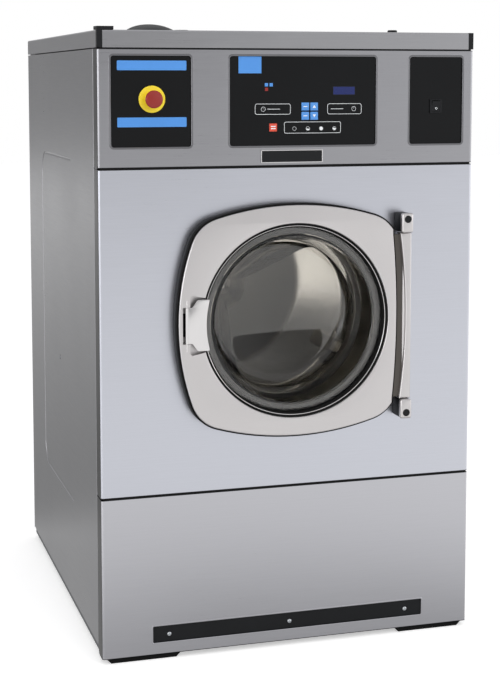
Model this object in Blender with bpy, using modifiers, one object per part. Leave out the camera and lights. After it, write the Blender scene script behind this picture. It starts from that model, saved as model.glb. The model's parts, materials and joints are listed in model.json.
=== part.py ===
"""Hard mount washer extractor, modelled at its real size in metres, +Z up.

The machine stands on the floor at Z = 0, its front looks along -Y and its
origin is at the middle of its footprint. Widths run along X, depths along Y.
"""
import math

import bmesh
import bpy
from mathutils import Matrix, Vector

# Cabinet
CABINET_WIDTH = 0.884
CABINET_DEPTH = 1.009
CABINET_HEIGHT = 1.412
LID_BAND = 0.038
PANEL_ABOVE_DOOR = 0.081
PANEL_BELOW_DOOR = 0.122
PANEL_SEAM = 0.0034
LID_SEAM = 0.0025
SHEET = 0.002
BEND_RADIUS = 0.006
FRONT_RETURN = 0.046
RETURN_ROUND = 0.017
PANEL_GAP = 0.003
TAB_DEPTH = 0.018
REAR_RETURN = 0.030
SIDE_BOTTOM = 0.031
REAR_PLAY = 0.001
REAR_PROUD = 0.058
HINGE_PROUD = 0.052

# Fits, shared by every piece
SEAT = 0.0003
EDGE = 0.001
OVERRUN = 0.004

# Floor pads and base rails
PAD_HEIGHT = 0.012
PAD_WIDTH = 0.170
PAD_DEPTH = 0.090
PAD_CHAMFER = 0.010
PAD_SIDE_INSET = 0.011
PAD_END_INSET = 0.006
RAIL_WIDTH = 0.060
RAIL_HEIGHT = 0.080
RAIL_WALL = 0.006

# Tub, its mouth and its cradles
DRUM_AXIS_RISE = 0.059
TUB_SIDE_GAP = 0.030
TUB_WALL = 0.003
TUB_START = 0.098
MOUTH_RADIUS = 0.2105
MOUTH_START = 0.020
CRADLE_THICKNESS = 0.010
CRADLE_SIDE_GAP = 0.008
CRADLE_RISE = 0.265
FRONT_CRADLE_INSET = 0.092
REAR_CRADLE_INSET = 0.140
GASKET_RADIUS = 0.2207
GASKET_WIDTH = 0.0157
GASKET_CHAMFER = 0.0052
DOOR_HOLE_RADIUS = 0.2210

# Drum, its shaft and its bearings
DRUM_SIDE_GAP = 0.032
DRUM_WALL = 0.002
DRUM_FRONT_GAP = 0.032
DRUM_REAR_GAP = 0.050
DRUM_MOUTH_RADIUS = 0.200
DRUM_LIP = 0.012
DRUM_HUB_HOLE = 0.040
LIFTER_COUNT = 3
LIFTER_HEIGHT = 0.075
LIFTER_BASE = 0.130
LIFTER_TOP = 0.040
LIFTER_END_GAP = 0.030
LIFTER_ROUND = 0.012
SPIDER_THICKNESS = 0.022
SPIDER_HUB = 0.085
SPIDER_ARM = 0.064
SPIDER_END_GAP = 0.014
SHAFT_RADIUS = 0.030
SHAFT_TAIL = 0.010
HOUSING_FLANGE = 0.130
HOUSING_FLANGE_THICKNESS = 0.012
HOUSING_RADIUS = 0.078
HOUSING_LENGTH = 0.180
HOUSING_BORE = 0.037
BEARING_RADIUS = 0.055
BEARING_WIDTH = 0.028
BEARING_SETBACK = 0.004

# Drive
PULLEY_RADIUS = 0.240
PULLEY_HUB = 0.055
PULLEY_WIDTH = 0.036
PULLEY_RIM = 0.014
PULLEY_WEB = 0.010
PULLEY_GAP = 0.012
PULLEY_REAR_ROOM = 0.081
MOTOR_PULLEY_RADIUS = 0.045
MOTOR_SHAFT = 0.012
MOTOR_SHAFT_IN = 0.030
MOTOR_RADIUS = 0.085
MOTOR_BELL = 0.062
MOTOR_BELL_LENGTH = 0.030
MOTOR_LENGTH = 0.240
MOTOR_SIDE = 0.200
MOTOR_HEIGHT = 0.215
MOTOR_PLAY = 0.0008
BELT_THICKNESS = 0.006
BELT_WIDTH = 0.030
BRACKET_PLATE = 0.008
BRACKET_DEPTH = 0.150
SADDLE_WIDTH = 0.130
SADDLE_DROP = 0.045

# Door
FRAME_PROUD = 0.040
FRAME_BACK_GAP = 0.002
FRAME_CORNER_X = 0.162
FRAME_CORNER_Z = 0.153
FRAME_CORNER_RADIUS = 0.088
FRAME_SIDE_BULGE = 0.0265
FRAME_TOP_BULGE = 0.024
FRAME_HINGE_EDGE = 0.2355
FRAME_HINGE_BOW = 0.009
FRAME_EDGE = 0.005
RING_RADIUS = 0.220
GLASS_SEAT_RADIUS = 0.226
GLASS_SEAT_DEPTH = 0.018
GLASS_THICKNESS = 0.005
GLASS_PLAY = 0.0005
BOWL_RADIUS = 0.190
BOWL_REAR_RADIUS = 0.178
BOWL_DEPTH = 0.122
BOWL_ROUND = 0.036
BOWL_CROWN = 0.014
CLAMP_WIDTH = 0.030

# Door hinge
HINGE_AXIS_SIDE = 0.262
HINGE_AXIS_PROUD = 0.030
LUG_WIDTH = 0.028
LUG_HEIGHT = 0.045
LUG_PLACE = 0.215
LUG_EDGE = 0.004
BAR_DEPTH = 0.024
BAR_END_GAP = 0.0005
BAR_WAIST = 0.014
BAR_WEB_SINK = 0.009
BAR_EDGE = 0.004
HINGE_PIN_RADIUS = 0.006
HINGE_PIN_LENGTH = 0.022
PIN_PLAY = 0.0003

# Door handle and lock
HANDLE_AXIS_SIDE = 0.2545
HANDLE_AXIS_PROUD = 0.0395
BARREL_RADIUS = 0.00375
BARREL_LENGTH = 0.081
HANDLE_PIN_RADIUS = 0.0019
HANDLE_PIN_TAIL = 0.0075
PADDLE_THICKNESS = 0.0045
PADDLE_NECK = 0.012
PADDLE_REACH = 0.0525
PADDLE_HEIGHT = 0.115
PADDLE_ROUND = 0.006
POCKET_DEPTH = 0.016
POCKET_LEFT_GAP = 0.0095
POCKET_LEFT_HEIGHT = 0.136
POCKET_RIGHT_HEIGHT = 0.114
TONGUE_THICKNESS = 0.005
TONGUE_HEIGHT = 0.040
TONGUE_DEPTH = 0.016
TONGUE_SWEEP = 0.020
TONGUE_PLAY = 0.006
LOCK_HEIGHT = 0.090
LOCK_DEPTH = 0.056
LOCK_WALL = 0.002
LOCK_OUTER_WALL = 0.022

# Control fascia
WINDOW_BOTTOM_MARGIN = 0.0445
WINDOW_TOP_MARGIN = 0.0155
WINDOW_ROUND = 0.0065
STOP_WINDOW_WIDTH = 0.184
STOP_WINDOW_INSET = 0.0273
CONTROL_WINDOW_LEFT_GAP = 0.0837
CONTROL_WINDOW_RIGHT_GAP = 0.0785
SWITCH_WINDOW_WIDTH = 0.1355
SWITCH_WINDOW_INSET = 0.0246
PLATE_LAP = 0.006
PLATE_THICKNESS = 0.003
BADGE_WIDTH = 0.144
BADGE_HEIGHT = 0.027
BADGE_THICKNESS = 0.002
BADGE_DROP = 0.0225
KEY_SIZE = 0.0178
KEY_PLAY = 0.0005
KEY_PROUD = 0.0012
KEY_FLANGE = 0.002
KEY_FLANGE_LAP = 0.0008
KEY_PITCH_X = 0.0211
KEY_PITCH_Z = 0.0209
KEYPAD_PLACE_SHARE = (0.0116, -0.0616)
STOP_KEY_PLACE_SHARE = (-0.2046, -0.2906)
DISPLAY_WIDTH = 0.052
DISPLAY_HEIGHT = 0.018
DISPLAY_PLACE_SHARE = (0.2754, 0.1133)
CONTROL_BOX_DEPTH = 0.088
CONTROL_BOX_WALL = 0.0015
CONTROL_BOX_MARGIN = 0.002

# Emergency stop
STOP_PLACE_SHARE = (0.009, 0.025)
STOP_RING_RADIUS = 0.0295
STOP_RING_THICKNESS = 0.003
STOP_COLLAR_RADIUS = 0.0155
STOP_COLLAR_PROUD = 0.0090
STOP_BARREL_RADIUS = 0.0108
STOP_BARREL_LENGTH = 0.022
STOP_STEM_RADIUS = 0.0070
STOP_STEM_TAIL = 0.006
STOP_HEAD_RADIUS = 0.0195
STOP_HEAD_PROUD = 0.0255
STOP_HEAD_RIM = 0.0205
STOP_HEAD_SKIRT = 0.0145
STOP_SOCKET_PROUD = 0.0195
STOP_NECK_WALL = 0.005

# Power switch
SWITCH_PLACE_SHARE = (0.0, -0.0645)
ROCKER_WIDTH = 0.0195
ROCKER_HEIGHT = 0.024
ROCKER_PROUD = 0.004
ROCKER_DIP = 0.0022
ROCKER_TILT = 8.0
BEZEL_RIM_SIDE = 0.0045
BEZEL_RIM_END = 0.0024
BEZEL_THICKNESS = 0.0026
ROCKER_PLAY = 0.0005

# Kick plate
KICK_WIDTH = 0.6555
KICK_HEIGHT = 0.0414
KICK_CENTRE = 0.0583
KICK_ROUND = 0.004

# Lid fittings and supply hopper
CORNER_SIZE = 0.012
CORNER_CAP_SIZE = 0.037
CORNER_CAP_HEIGHT = 0.0075
HOPPER_INSET = 0.228
HOPPER_PLACE = 0.500
HOPPER_WIDTH = 0.092
HOPPER_LENGTH = 0.180
HOPPER_DEPTH = 0.150
HOPPER_WALL = 0.0025
HOPPER_RIM = 0.006
HOPPER_RIM_THICKNESS = 0.004
HOPPER_PLAY = 0.001
CHUTE_RADIUS = 0.028
HOPPER_LID_HEIGHT = 0.026
HOPPER_LID_CROWN = 0.016
HOPPER_LID_WALL = 0.0025
LID_PIN_RADIUS = 0.0035
LID_PIN_SET = 0.0055
LID_EAR_WIDTH = 0.010
LID_BARREL_SHARE = 0.5

# Water, drain and power fittings at the rear
DRAIN_PLACE = 0.645
DRAIN_BODY_RADIUS = 0.048
DRAIN_BODY_BOTTOM = 0.140
DRAIN_PIPE_RADIUS = 0.036
DRAIN_PIPE_HEIGHT = 0.190
DRAIN_PIPE_WALL = 0.004
DRAIN_BORE_DEPTH = 0.060
INLET_INSET = 0.192
INLET_DROP = 0.152
INLET_SPACING = 0.060
INLET_BODY_WIDTH = 0.110
INLET_BODY_HEIGHT = 0.046
INLET_BODY_DEPTH = 0.060
INLET_EDGE = 0.004
INLET_PORT_RADIUS = 0.013
INLET_PROUD = 0.034
GLAND_INSET = 0.142
GLAND_DROP = 0.212
GLAND_RADIUS = 0.0125
GLAND_NUT_RADIUS = 0.019
GLAND_NUT_LENGTH = 0.018
GLAND_TAIL = 0.014
PORT_PLAY = 0.0007

# Counts
ROUND_STEPS = 60
PULLEY_STEPS = 44
MEDIUM_STEPS = 30
SMALL_STEPS = 18
CORNER_STEPS = 4
EDGE_STEPS = 2
SWEEP_STEPS = 10
NUT_SIDES = 6

# Tiny merging distance, and the angles in degrees that count as an edge
MERGE = 0.00001
SHARP_ANGLE = 30
ROUNDED_ANGLE = 35

# Levels and planes worked out from the sizes above
FRONT = -(CABINET_DEPTH + REAR_PROUD - HINGE_PROUD) / 2
REAR = FRONT + CABINET_DEPTH
HALF_WIDTH = CABINET_WIDTH / 2
LID_BOTTOM = CABINET_HEIGHT - LID_BAND
RAIL_BOTTOM = PAD_HEIGHT + SEAT
RAIL_TOP = RAIL_BOTTOM + RAIL_HEIGHT
RAIL_OUTER = HALF_WIDTH - 2 * SHEET - 2 * SEAT
PLATE_FRONT = FRONT + SHEET + SEAT
PLATE_REAR = PLATE_FRONT + PLATE_THICKNESS
REAR_PANEL_INNER = REAR - 2 * SHEET - SEAT
TUB_RADIUS = HALF_WIDTH - TUB_SIDE_GAP
TUB_FRONT = FRONT + TUB_START
TUB_REAR = REAR - PULLEY_REAR_ROOM - PULLEY_WIDTH - PULLEY_GAP - HOUSING_LENGTH
DRUM_AXIS_HEIGHT = CABINET_HEIGHT / 2 + DRUM_AXIS_RISE
DRUM_RADIUS = TUB_RADIUS - DRUM_SIDE_GAP
DRUM_FRONT = TUB_FRONT + DRUM_FRONT_GAP
DRUM_REAR = TUB_REAR - DRUM_REAR_GAP
FRAME_REACH = FRAME_CORNER_Z + FRAME_CORNER_RADIUS + FRAME_TOP_BULGE
DOOR_PANEL_TOP = DRUM_AXIS_HEIGHT + FRAME_REACH + PANEL_ABOVE_DOOR
LOWER_PANEL_TOP = DRUM_AXIS_HEIGHT - FRAME_REACH - PANEL_BELOW_DOOR
HOUSING_FRONT = TUB_REAR + SEAT
HOUSING_REAR = HOUSING_FRONT + HOUSING_LENGTH
PULLEY_FRONT = HOUSING_REAR + PULLEY_GAP
PULLEY_REAR = PULLEY_FRONT + PULLEY_WIDTH
FRAME_FACE = FRONT - FRAME_PROUD
FRAME_BACK = FRONT - FRAME_BACK_GAP
GLASS_FRONT = FRAME_BACK - GLASS_SEAT_DEPTH + SEAT
GLASS_BACK = GLASS_FRONT + GLASS_THICKNESS
HINGE_AXIS = (HINGE_AXIS_SIDE, FRONT - HINGE_AXIS_PROUD)
HANDLE_AXIS = (-HANDLE_AXIS_SIDE, FRONT - HANDLE_AXIS_PROUD)
WINDOW_LOW = DOOR_PANEL_TOP + WINDOW_BOTTOM_MARGIN
WINDOW_HIGH = LID_BOTTOM - WINDOW_TOP_MARGIN
WINDOW_HEIGHT = WINDOW_HIGH - WINDOW_LOW
WINDOW_CENTRE = (WINDOW_LOW + WINDOW_HIGH) / 2
STOP_WINDOW = -HALF_WIDTH + STOP_WINDOW_INSET + STOP_WINDOW_WIDTH / 2
SWITCH_WINDOW = HALF_WIDTH - SWITCH_WINDOW_INSET - SWITCH_WINDOW_WIDTH / 2
CONTROL_WINDOW_LEFT = STOP_WINDOW + STOP_WINDOW_WIDTH / 2 + CONTROL_WINDOW_LEFT_GAP
CONTROL_WINDOW_RIGHT = SWITCH_WINDOW - SWITCH_WINDOW_WIDTH / 2 - CONTROL_WINDOW_RIGHT_GAP
CONTROL_WINDOW = (CONTROL_WINDOW_LEFT + CONTROL_WINDOW_RIGHT) / 2
CONTROL_WINDOW_WIDTH = CONTROL_WINDOW_RIGHT - CONTROL_WINDOW_LEFT
HOPPER_SIDE = -HALF_WIDTH + HOPPER_INSET
INLET_SIDE = -HALF_WIDTH + INLET_INSET
INLET_HEIGHT = CABINET_HEIGHT - INLET_DROP
GLAND_SIDE = HALF_WIDTH - GLAND_INSET
GLAND_HEIGHT = CABINET_HEIGHT - GLAND_DROP

FINISHES = {
    "satin steel": ((0.42, 0.42, 0.43), 0.9, 0.35),
    "pale steel": ((0.56, 0.58, 0.62), 0.8, 0.32),
    "cast aluminium": ((0.60, 0.59, 0.58), 0.85, 0.38),
    "polished steel": ((0.70, 0.70, 0.70), 1.0, 0.15),
    "stainless steel": ((0.50, 0.50, 0.50), 1.0, 0.25),
    "painted steel": ((0.10, 0.11, 0.12), 0.0, 0.5),
    "cast iron": ((0.06, 0.06, 0.065), 0.6, 0.6),
    "black plastic": ((0.014, 0.015, 0.017), 0.0, 0.35),
    "black rubber": ((0.012, 0.012, 0.012), 0.0, 0.8),
    "blue plastic": ((0.07, 0.27, 0.70), 0.0, 0.35),
    "red plastic": ((0.38, 0.022, 0.021), 0.0, 0.35),
    "yellow plastic": ((0.91, 0.69, 0.02), 0.0, 0.4),
    "display glass": ((0.013, 0.023, 0.117), 0.0, 0.1),
    "clear glass": ((0.75, 0.78, 0.78), 0.0, 0.05),
}


def clear_scene():
    """Start from a scene with no objects in it."""
    for thing in list(bpy.data.objects):
        bpy.data.objects.remove(thing, do_unlink=True)


def new_collection(name):
    """Make a collection under the scene's own."""
    group = bpy.data.collections.new(name)
    bpy.context.scene.collection.children.link(group)
    return group


def move_to(thing, group):
    """Keep an object in one collection only."""
    for home in list(thing.users_collection):
        home.objects.unlink(thing)
    group.objects.link(thing)


def make_material(name, finish):
    """Give one piece its own Principled material."""
    colour, metallic, roughness = FINISHES[finish]
    material = bpy.data.materials.new(name)
    material.use_nodes = True
    shader = material.node_tree.nodes["Principled BSDF"]
    shader.inputs["Base Color"].default_value = (*colour, 1.0)
    shader.inputs["Metallic"].default_value = metallic
    shader.inputs["Roughness"].default_value = roughness
    if finish == "clear glass":
        shader.inputs["Transmission Weight"].default_value = 1.0
    return material


def finish_piece(thing, name, finish):
    """Name a piece, shade it and put it with the parts."""
    thing.name = name
    thing.data.name = name
    thing.data.materials.clear()
    thing.data.materials.append(make_material(name, finish))
    thing.data.shade_smooth()
    thing.data.set_sharp_from_angle(angle=math.radians(SHARP_ANGLE))
    move_to(thing, bpy.data.collections["washer_extractor"])
    return thing


def box(name, low, high, finish="satin steel"):
    """Make a block between two opposite corners."""
    bpy.ops.mesh.primitive_cube_add(size=1)
    thing = bpy.context.object
    low, high = Vector(low), Vector(high)
    size = high - low
    thing.data.transform(Matrix.Diagonal((size.x, size.y, size.z, 1)))
    thing.data.transform(Matrix.Translation((low + high) / 2))
    return finish_piece(thing, name, finish)


def rod(name, start, end, radius, finish="satin steel", steps=SMALL_STEPS):
    """Make a straight round bar between two points."""
    start, end = Vector(start), Vector(end)
    line = end - start
    bpy.ops.mesh.primitive_cylinder_add(vertices=steps, radius=radius, depth=line.length)
    thing = bpy.context.object
    turn = line.to_track_quat("Z", "Y").to_matrix().to_4x4()
    thing.data.transform(Matrix.Translation((start + end) / 2) @ turn)
    return finish_piece(thing, name, finish)


def soften(thing, width, steps=EDGE_STEPS):
    """Round a piece's sharp edges."""
    bevel = thing.modifiers.new("rounded edges", "BEVEL")
    bevel.width = width
    bevel.segments = steps
    bevel.limit_method = "ANGLE"
    bevel.angle_limit = math.radians(ROUNDED_ANGLE)
    return thing


def as_cutter(thing):
    """Hide a shape that only cuts or joins another."""
    thing.hide_render = True
    thing.display_type = "WIRE"
    move_to(thing, bpy.data.collections["cutters"])


def combine(target, operation, shapes):
    """Cut shapes from a piece, or join them to it."""
    for shape in shapes:
        boolean = target.modifiers.new(operation.lower(), "BOOLEAN")
        boolean.operation = operation
        boolean.solver = "EXACT"
        boolean.object = shape
        as_cutter(shape)
    return target


def cut(target, *shapes):
    """Cut shapes from a piece."""
    return combine(target, "DIFFERENCE", shapes)


def join(target, *shapes):
    """Join shapes to a piece as one body."""
    return combine(target, "UNION", shapes)


def arc(centre, radius, start, end, steps):
    """List points on an arc, with its angles in radians."""
    points = []
    for step in range(steps + 1):
        angle = start + (end - start) * step / steps
        points.append((centre[0] + radius * math.cos(angle), centre[1] + radius * math.sin(angle)))
    return points


def clear_arc(centre, radius, start, end, steps):
    """List points on an arc whose straight runs all stay outside a radius."""
    half_run = abs(end - start) / steps / 2
    return arc(centre, radius / math.cos(half_run), start, end, steps)


def circle(centre, radius, steps=MEDIUM_STEPS):
    """List points on a whole circle."""
    return arc(centre, radius, 0, 2 * math.pi, steps)[:-1]


def rectangle(centre, width, height):
    """List the corners of a rectangle about its centre."""
    x, z = centre
    return [(x - width / 2, z - height / 2), (x + width / 2, z - height / 2),
            (x + width / 2, z + height / 2), (x - width / 2, z + height / 2)]


def rounded(corners, radii, steps=CORNER_STEPS):
    """Turn a polygon's corners into arcs of one radius, or of one radius each."""
    outline = []
    count = len(corners)
    for index, corner in enumerate(corners):
        radius = radii[index] if isinstance(radii, (list, tuple)) else radii
        here = Vector(corner)
        back = Vector(corners[index - 1]) - here
        ahead = Vector(corners[(index + 1) % count]) - here
        half = back.angle(ahead) / 2
        reach = min(radius / math.tan(half), back.length / 2, ahead.length / 2)
        if reach <= 0:
            outline.append(tuple(here))
            continue
        radius = reach * math.tan(half)
        middle = (back.normalized() + ahead.normalized()).normalized()
        centre = here + middle * (radius / math.sin(half))
        start = here + back.normalized() * reach - centre
        end = here + ahead.normalized() * reach - centre
        first = math.atan2(start.y, start.x)
        turn = (math.atan2(end.y, end.x) - first + math.pi) % (2 * math.pi) - math.pi
        outline += arc(centre, radius, first, first + turn, steps)
    return outline


FACINGS = {
    "up": (0, 0, 0),
    "front": (math.pi / 2, 0, 0),
    "side": (math.pi / 2, 0, math.pi / 2),
}


def winding(outline):
    """Give twice the signed area of an outline, positive when anticlockwise."""
    area = 0
    for (x1, y1), (x2, y2) in zip(outline, outline[1:] + outline[:1]):
        area += x1 * y2 - x2 * y1
    return area


def flat_piece(name, outlines, low, high, facing="front", finish="satin steel", edge=0):
    """Fill an outline, with any holes after it, between two levels.

    A front outline is read in X and Z and its levels in Y, an up outline in
    X and Y with levels in Z, and a side outline in Y and Z with levels in X.
    An edge rounds the rims within the same outline and levels.
    """
    curve = bpy.data.curves.new(name, "CURVE")
    curve.dimensions = "2D"
    curve.fill_mode = "BOTH"
    curve.extrude = (high - low) / 2 - edge
    curve.bevel_depth = edge
    curve.bevel_resolution = 1
    curve.offset = -edge
    for number, outline in enumerate(outlines):
        if (winding(outline) > 0) == (number > 0):
            outline = outline[::-1]
        spline = curve.splines.new("POLY")
        spline.points.add(len(outline) - 1)
        for point, place in zip(spline.points, outline):
            point.co = (place[0], place[1], 0, 1)
        spline.use_cyclic_u = True
    guide = bpy.data.objects.new(name, curve)
    bpy.context.scene.collection.objects.link(guide)
    guide.rotation_euler = FACINGS[facing]
    level = (low + high) / 2
    guide.location = {"up": (0, 0, level), "front": (0, level, 0), "side": (level, 0, 0)}[facing]
    bpy.context.view_layer.update()
    evaluated = guide.evaluated_get(bpy.context.evaluated_depsgraph_get())
    mesh = bpy.data.meshes.new_from_object(evaluated)
    mesh.transform(guide.matrix_world)
    bpy.data.objects.remove(guide)
    bpy.data.curves.remove(curve)
    shell = bmesh.new()
    shell.from_mesh(mesh)
    bmesh.ops.remove_doubles(shell, verts=shell.verts, dist=MERGE)
    bmesh.ops.recalc_face_normals(shell, faces=shell.faces)
    shell.to_mesh(mesh)
    shell.free()
    thing = bpy.data.objects.new(name, mesh)
    bpy.context.scene.collection.objects.link(thing)
    return finish_piece(thing, name, finish)


def turned(name, profile, centre, finish="satin steel", axis="Y", steps=ROUND_STEPS):
    """Turn a profile of (radius, place along the axis) about a line.

    A profile that starts and ends on the axis makes a solid piece, and any
    other is closed on itself and makes a ring.
    """
    ring = min(radius for radius, place in profile) > MERGE
    if winding(profile) > 0:
        profile = profile[::-1]
    links = [(i, i + 1) for i in range(len(profile) - 1)]
    if ring:
        links.append((len(profile) - 1, 0))
    mesh = bpy.data.meshes.new(name)
    mesh.from_pydata([(radius, 0, place) for radius, place in profile], links, [])
    thing = bpy.data.objects.new(name, mesh)
    bpy.context.scene.collection.objects.link(thing)
    screw = thing.modifiers.new("turned", "SCREW")
    screw.axis = "Z"
    screw.steps = steps
    screw.render_steps = steps
    screw.use_merge_vertices = True
    screw.merge_threshold = MERGE
    if axis == "Y":
        thing.rotation_euler = (-math.pi / 2, 0, 0)
        thing.location = (centre[0], 0, centre[1])
    else:
        thing.location = (centre[0], centre[1], 0)
    return finish_piece(thing, name, finish)


def carried_by(place, name, pieces):
    """Parent the pieces of one moving body to an empty on its joint's axis."""
    pivot = bpy.data.objects.new(name, None)
    bpy.data.collections["washer_extractor"].objects.link(pivot)
    pivot.location = place
    for piece in pieces:
        piece.parent = pivot
        piece.matrix_parent_inverse = Matrix.Translation(-Vector(place))
    return pivot


def carry_pivot(pivot, carrier):
    """Let one moving body's empty follow another's, where it stands."""
    pivot.parent = carrier
    pivot.matrix_parent_inverse = Matrix.Translation(-carrier.location)


def share_of(window, width, height, share):
    """Place a fitting on a plate by shares of the plate's width and height."""
    return (window + width * share[0], WINDOW_CENTRE + height * share[1])


def front_wrap(name, low, high, finish):
    """Fold a front panel that returns along both sides and is rounded at their lower corners."""
    side = HALF_WIDTH
    inner = HALF_WIDTH - SHEET
    back = FRONT + FRONT_RETURN
    corners = [(-side, back), (-side, FRONT), (side, FRONT), (side, back),
               (inner, back), (inner, FRONT + SHEET), (-inner, FRONT + SHEET), (-inner, back)]
    tight = BEND_RADIUS - SHEET
    outline = rounded(corners, [0, BEND_RADIUS, BEND_RADIUS, 0, 0, tight, tight, 0])
    panel = flat_piece(name, [outline], low, high, "up", finish)
    centre = (back - RETURN_ROUND + SEAT, low + RETURN_ROUND - SEAT)
    trim = arc(centre, RETURN_ROUND, -math.pi / 2, 0, CORNER_STEPS)
    trim += [(back + OVERRUN, centre[1]), (back + OVERRUN, low - OVERRUN), (centre[0], low - OVERRUN)]
    return cut(panel, flat_piece(name + "_trim", [trim], -side - OVERRUN, side + OVERRUN, "side"))


def build_base():
    """Make the floor pads and the two base rails."""
    for side, side_name in ((-1, "left"), (1, "right")):
        outer = HALF_WIDTH - PAD_SIDE_INSET
        low = min(side * outer, side * (outer - PAD_WIDTH))
        high = low + PAD_WIDTH
        outline = [(low + PAD_CHAMFER, 0), (high - PAD_CHAMFER, 0), (high, PAD_CHAMFER),
                   (high, PAD_HEIGHT), (low, PAD_HEIGHT), (low, PAD_CHAMFER)]
        ends = (("front", FRONT + PAD_END_INSET), ("rear", REAR - PAD_END_INSET - PAD_DEPTH))
        for end_name, start in ends:
            flat_piece(f"floor_pad_{end_name}_{side_name}", [outline], start, start + PAD_DEPTH,
                       finish="black rubber")
        web = side * RAIL_OUTER
        lip = side * (RAIL_OUTER - RAIL_WIDTH)
        inner = side * (RAIL_OUTER - RAIL_WALL)
        channel = [(web, RAIL_BOTTOM), (lip, RAIL_BOTTOM), (lip, RAIL_BOTTOM + RAIL_WALL),
                   (inner, RAIL_BOTTOM + RAIL_WALL), (inner, RAIL_TOP - RAIL_WALL),
                   (lip, RAIL_TOP - RAIL_WALL), (lip, RAIL_TOP), (web, RAIL_TOP)]
        flat_piece(f"base_rail_{side_name}", [channel], FRONT + BEND_RADIUS,
                   REAR_PANEL_INNER - SEAT, finish="painted steel")


def build_cradles():
    """Make the two plates that carry the tub on the base rails."""
    centre = (0, DRUM_AXIS_HEIGHT)
    radius = TUB_RADIUS + SEAT
    top = DRUM_AXIS_HEIGHT - CRADLE_RISE
    reach = math.asin(CRADLE_RISE / radius)
    outer = HALF_WIDTH - SHEET - CRADLE_SIDE_GAP
    bottom = RAIL_TOP + SEAT
    bowl = clear_arc(centre, radius, -reach, reach - math.pi, ROUND_STEPS // 2)
    outline = [(-outer, bottom), (outer, bottom), (outer, top)] + bowl + [(-outer, top)]
    for name, start in (("front_cradle", TUB_FRONT + FRONT_CRADLE_INSET),
                        ("rear_cradle", TUB_REAR - REAR_CRADLE_INSET)):
        flat_piece(name, [outline], start, start + CRADLE_THICKNESS, finish="painted steel")


def build_front_panels():
    """Make the lower front panel, its kick plate and the door panel."""
    seam = PANEL_SEAM / 2
    lower = front_wrap("lower_front_panel", PAD_HEIGHT, LOWER_PANEL_TOP - seam, "satin steel")
    window = rounded(rectangle((0, KICK_CENTRE), KICK_WIDTH, KICK_HEIGHT), KICK_ROUND)
    cut(lower, flat_piece("kick_opening", [window], FRONT - OVERRUN, FRONT + SHEET + OVERRUN))
    lap = 2 * PLATE_LAP
    backing = rectangle((0, KICK_CENTRE), KICK_WIDTH + lap, KICK_HEIGHT + lap)
    flat_piece("kick_plate", [rounded(backing, KICK_ROUND)], PLATE_FRONT, PLATE_REAR,
               finish="black plastic")

    panel = front_wrap("door_panel", LOWER_PANEL_TOP + seam, DOOR_PANEL_TOP - seam, "pale steel")
    centre = (0, DRUM_AXIS_HEIGHT)
    hole = flat_piece("door_opening", [circle(centre, DOOR_HOLE_RADIUS, ROUND_STEPS)],
                      FRONT - OVERRUN, FRONT + SHEET + OVERRUN)
    low, high = tongue_slot(OVERRUN)
    cut(panel, hole, box("latch_slot", low, high))


def tongue_slot(overrun):
    """Give the corners of the slot in the door panel that the tongue enters."""
    left = HANDLE_AXIS[0] - TONGUE_THICKNESS / 2 - TONGUE_PLAY
    right = HANDLE_AXIS[0] + TONGUE_THICKNESS / 2 + TONGUE_SWEEP
    half = TONGUE_HEIGHT / 2 + TONGUE_PLAY
    low = (left, FRONT - overrun, DRUM_AXIS_HEIGHT - half)
    high = (right, FRONT + SHEET + overrun, DRUM_AXIS_HEIGHT + half)
    return low, high


def build_fascia():
    """Make the control fascia, its three black plates and the bare badge plate."""
    seam = PANEL_SEAM / 2
    fascia = front_wrap("control_fascia", DOOR_PANEL_TOP + seam, LID_BOTTOM - LID_SEAM, "satin steel")
    lap = 2 * PLATE_LAP
    windows = (
        ("stop_plate", STOP_WINDOW, STOP_WINDOW_WIDTH),
        ("control_plate", CONTROL_WINDOW, CONTROL_WINDOW_WIDTH),
        ("switch_plate", SWITCH_WINDOW, SWITCH_WINDOW_WIDTH),
    )
    holes = {"stop_plate": [stop_hole()], "control_plate": key_holes(), "switch_plate": [rocker_hole()]}
    for name, place, width in windows:
        centre = (place, WINDOW_CENTRE)
        window = rounded(rectangle(centre, width, WINDOW_HEIGHT), WINDOW_ROUND)
        cut(fascia, flat_piece(name + "_window", [window], FRONT - OVERRUN, FRONT + SHEET + OVERRUN))
        outline = rounded(rectangle(centre, width + lap, WINDOW_HEIGHT + lap), WINDOW_ROUND)
        flat_piece(name, [outline] + holes[name], PLATE_FRONT, PLATE_REAR, finish="black plastic")

    badge = (0, DOOR_PANEL_TOP + BADGE_DROP)
    flat_piece("badge_plate", [rounded(rectangle(badge, BADGE_WIDTH, BADGE_HEIGHT), EDGE)],
               FRONT - SEAT - BADGE_THICKNESS, FRONT - SEAT, finish="black plastic")
    build_control_box()


def build_control_box():
    """Make the open tray behind the fascia that houses the boards."""
    margin = PLATE_LAP + CONTROL_BOX_MARGIN
    left = CONTROL_WINDOW - CONTROL_WINDOW_WIDTH / 2 - margin
    right = SWITCH_WINDOW + SWITCH_WINDOW_WIDTH / 2 + margin
    low = (left, PLATE_FRONT, WINDOW_LOW - margin)
    high = (right, FRONT + CONTROL_BOX_DEPTH, WINDOW_HIGH + margin)
    wall = CONTROL_BOX_WALL
    tray = box("control_box", (low[0] - wall, low[1], low[2] - wall),
               (high[0] + wall, high[1] + wall, high[2] + wall), "painted steel")
    cut(tray, box("tray_hollow", (low[0], low[1] - OVERRUN, low[2]), high))


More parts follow.
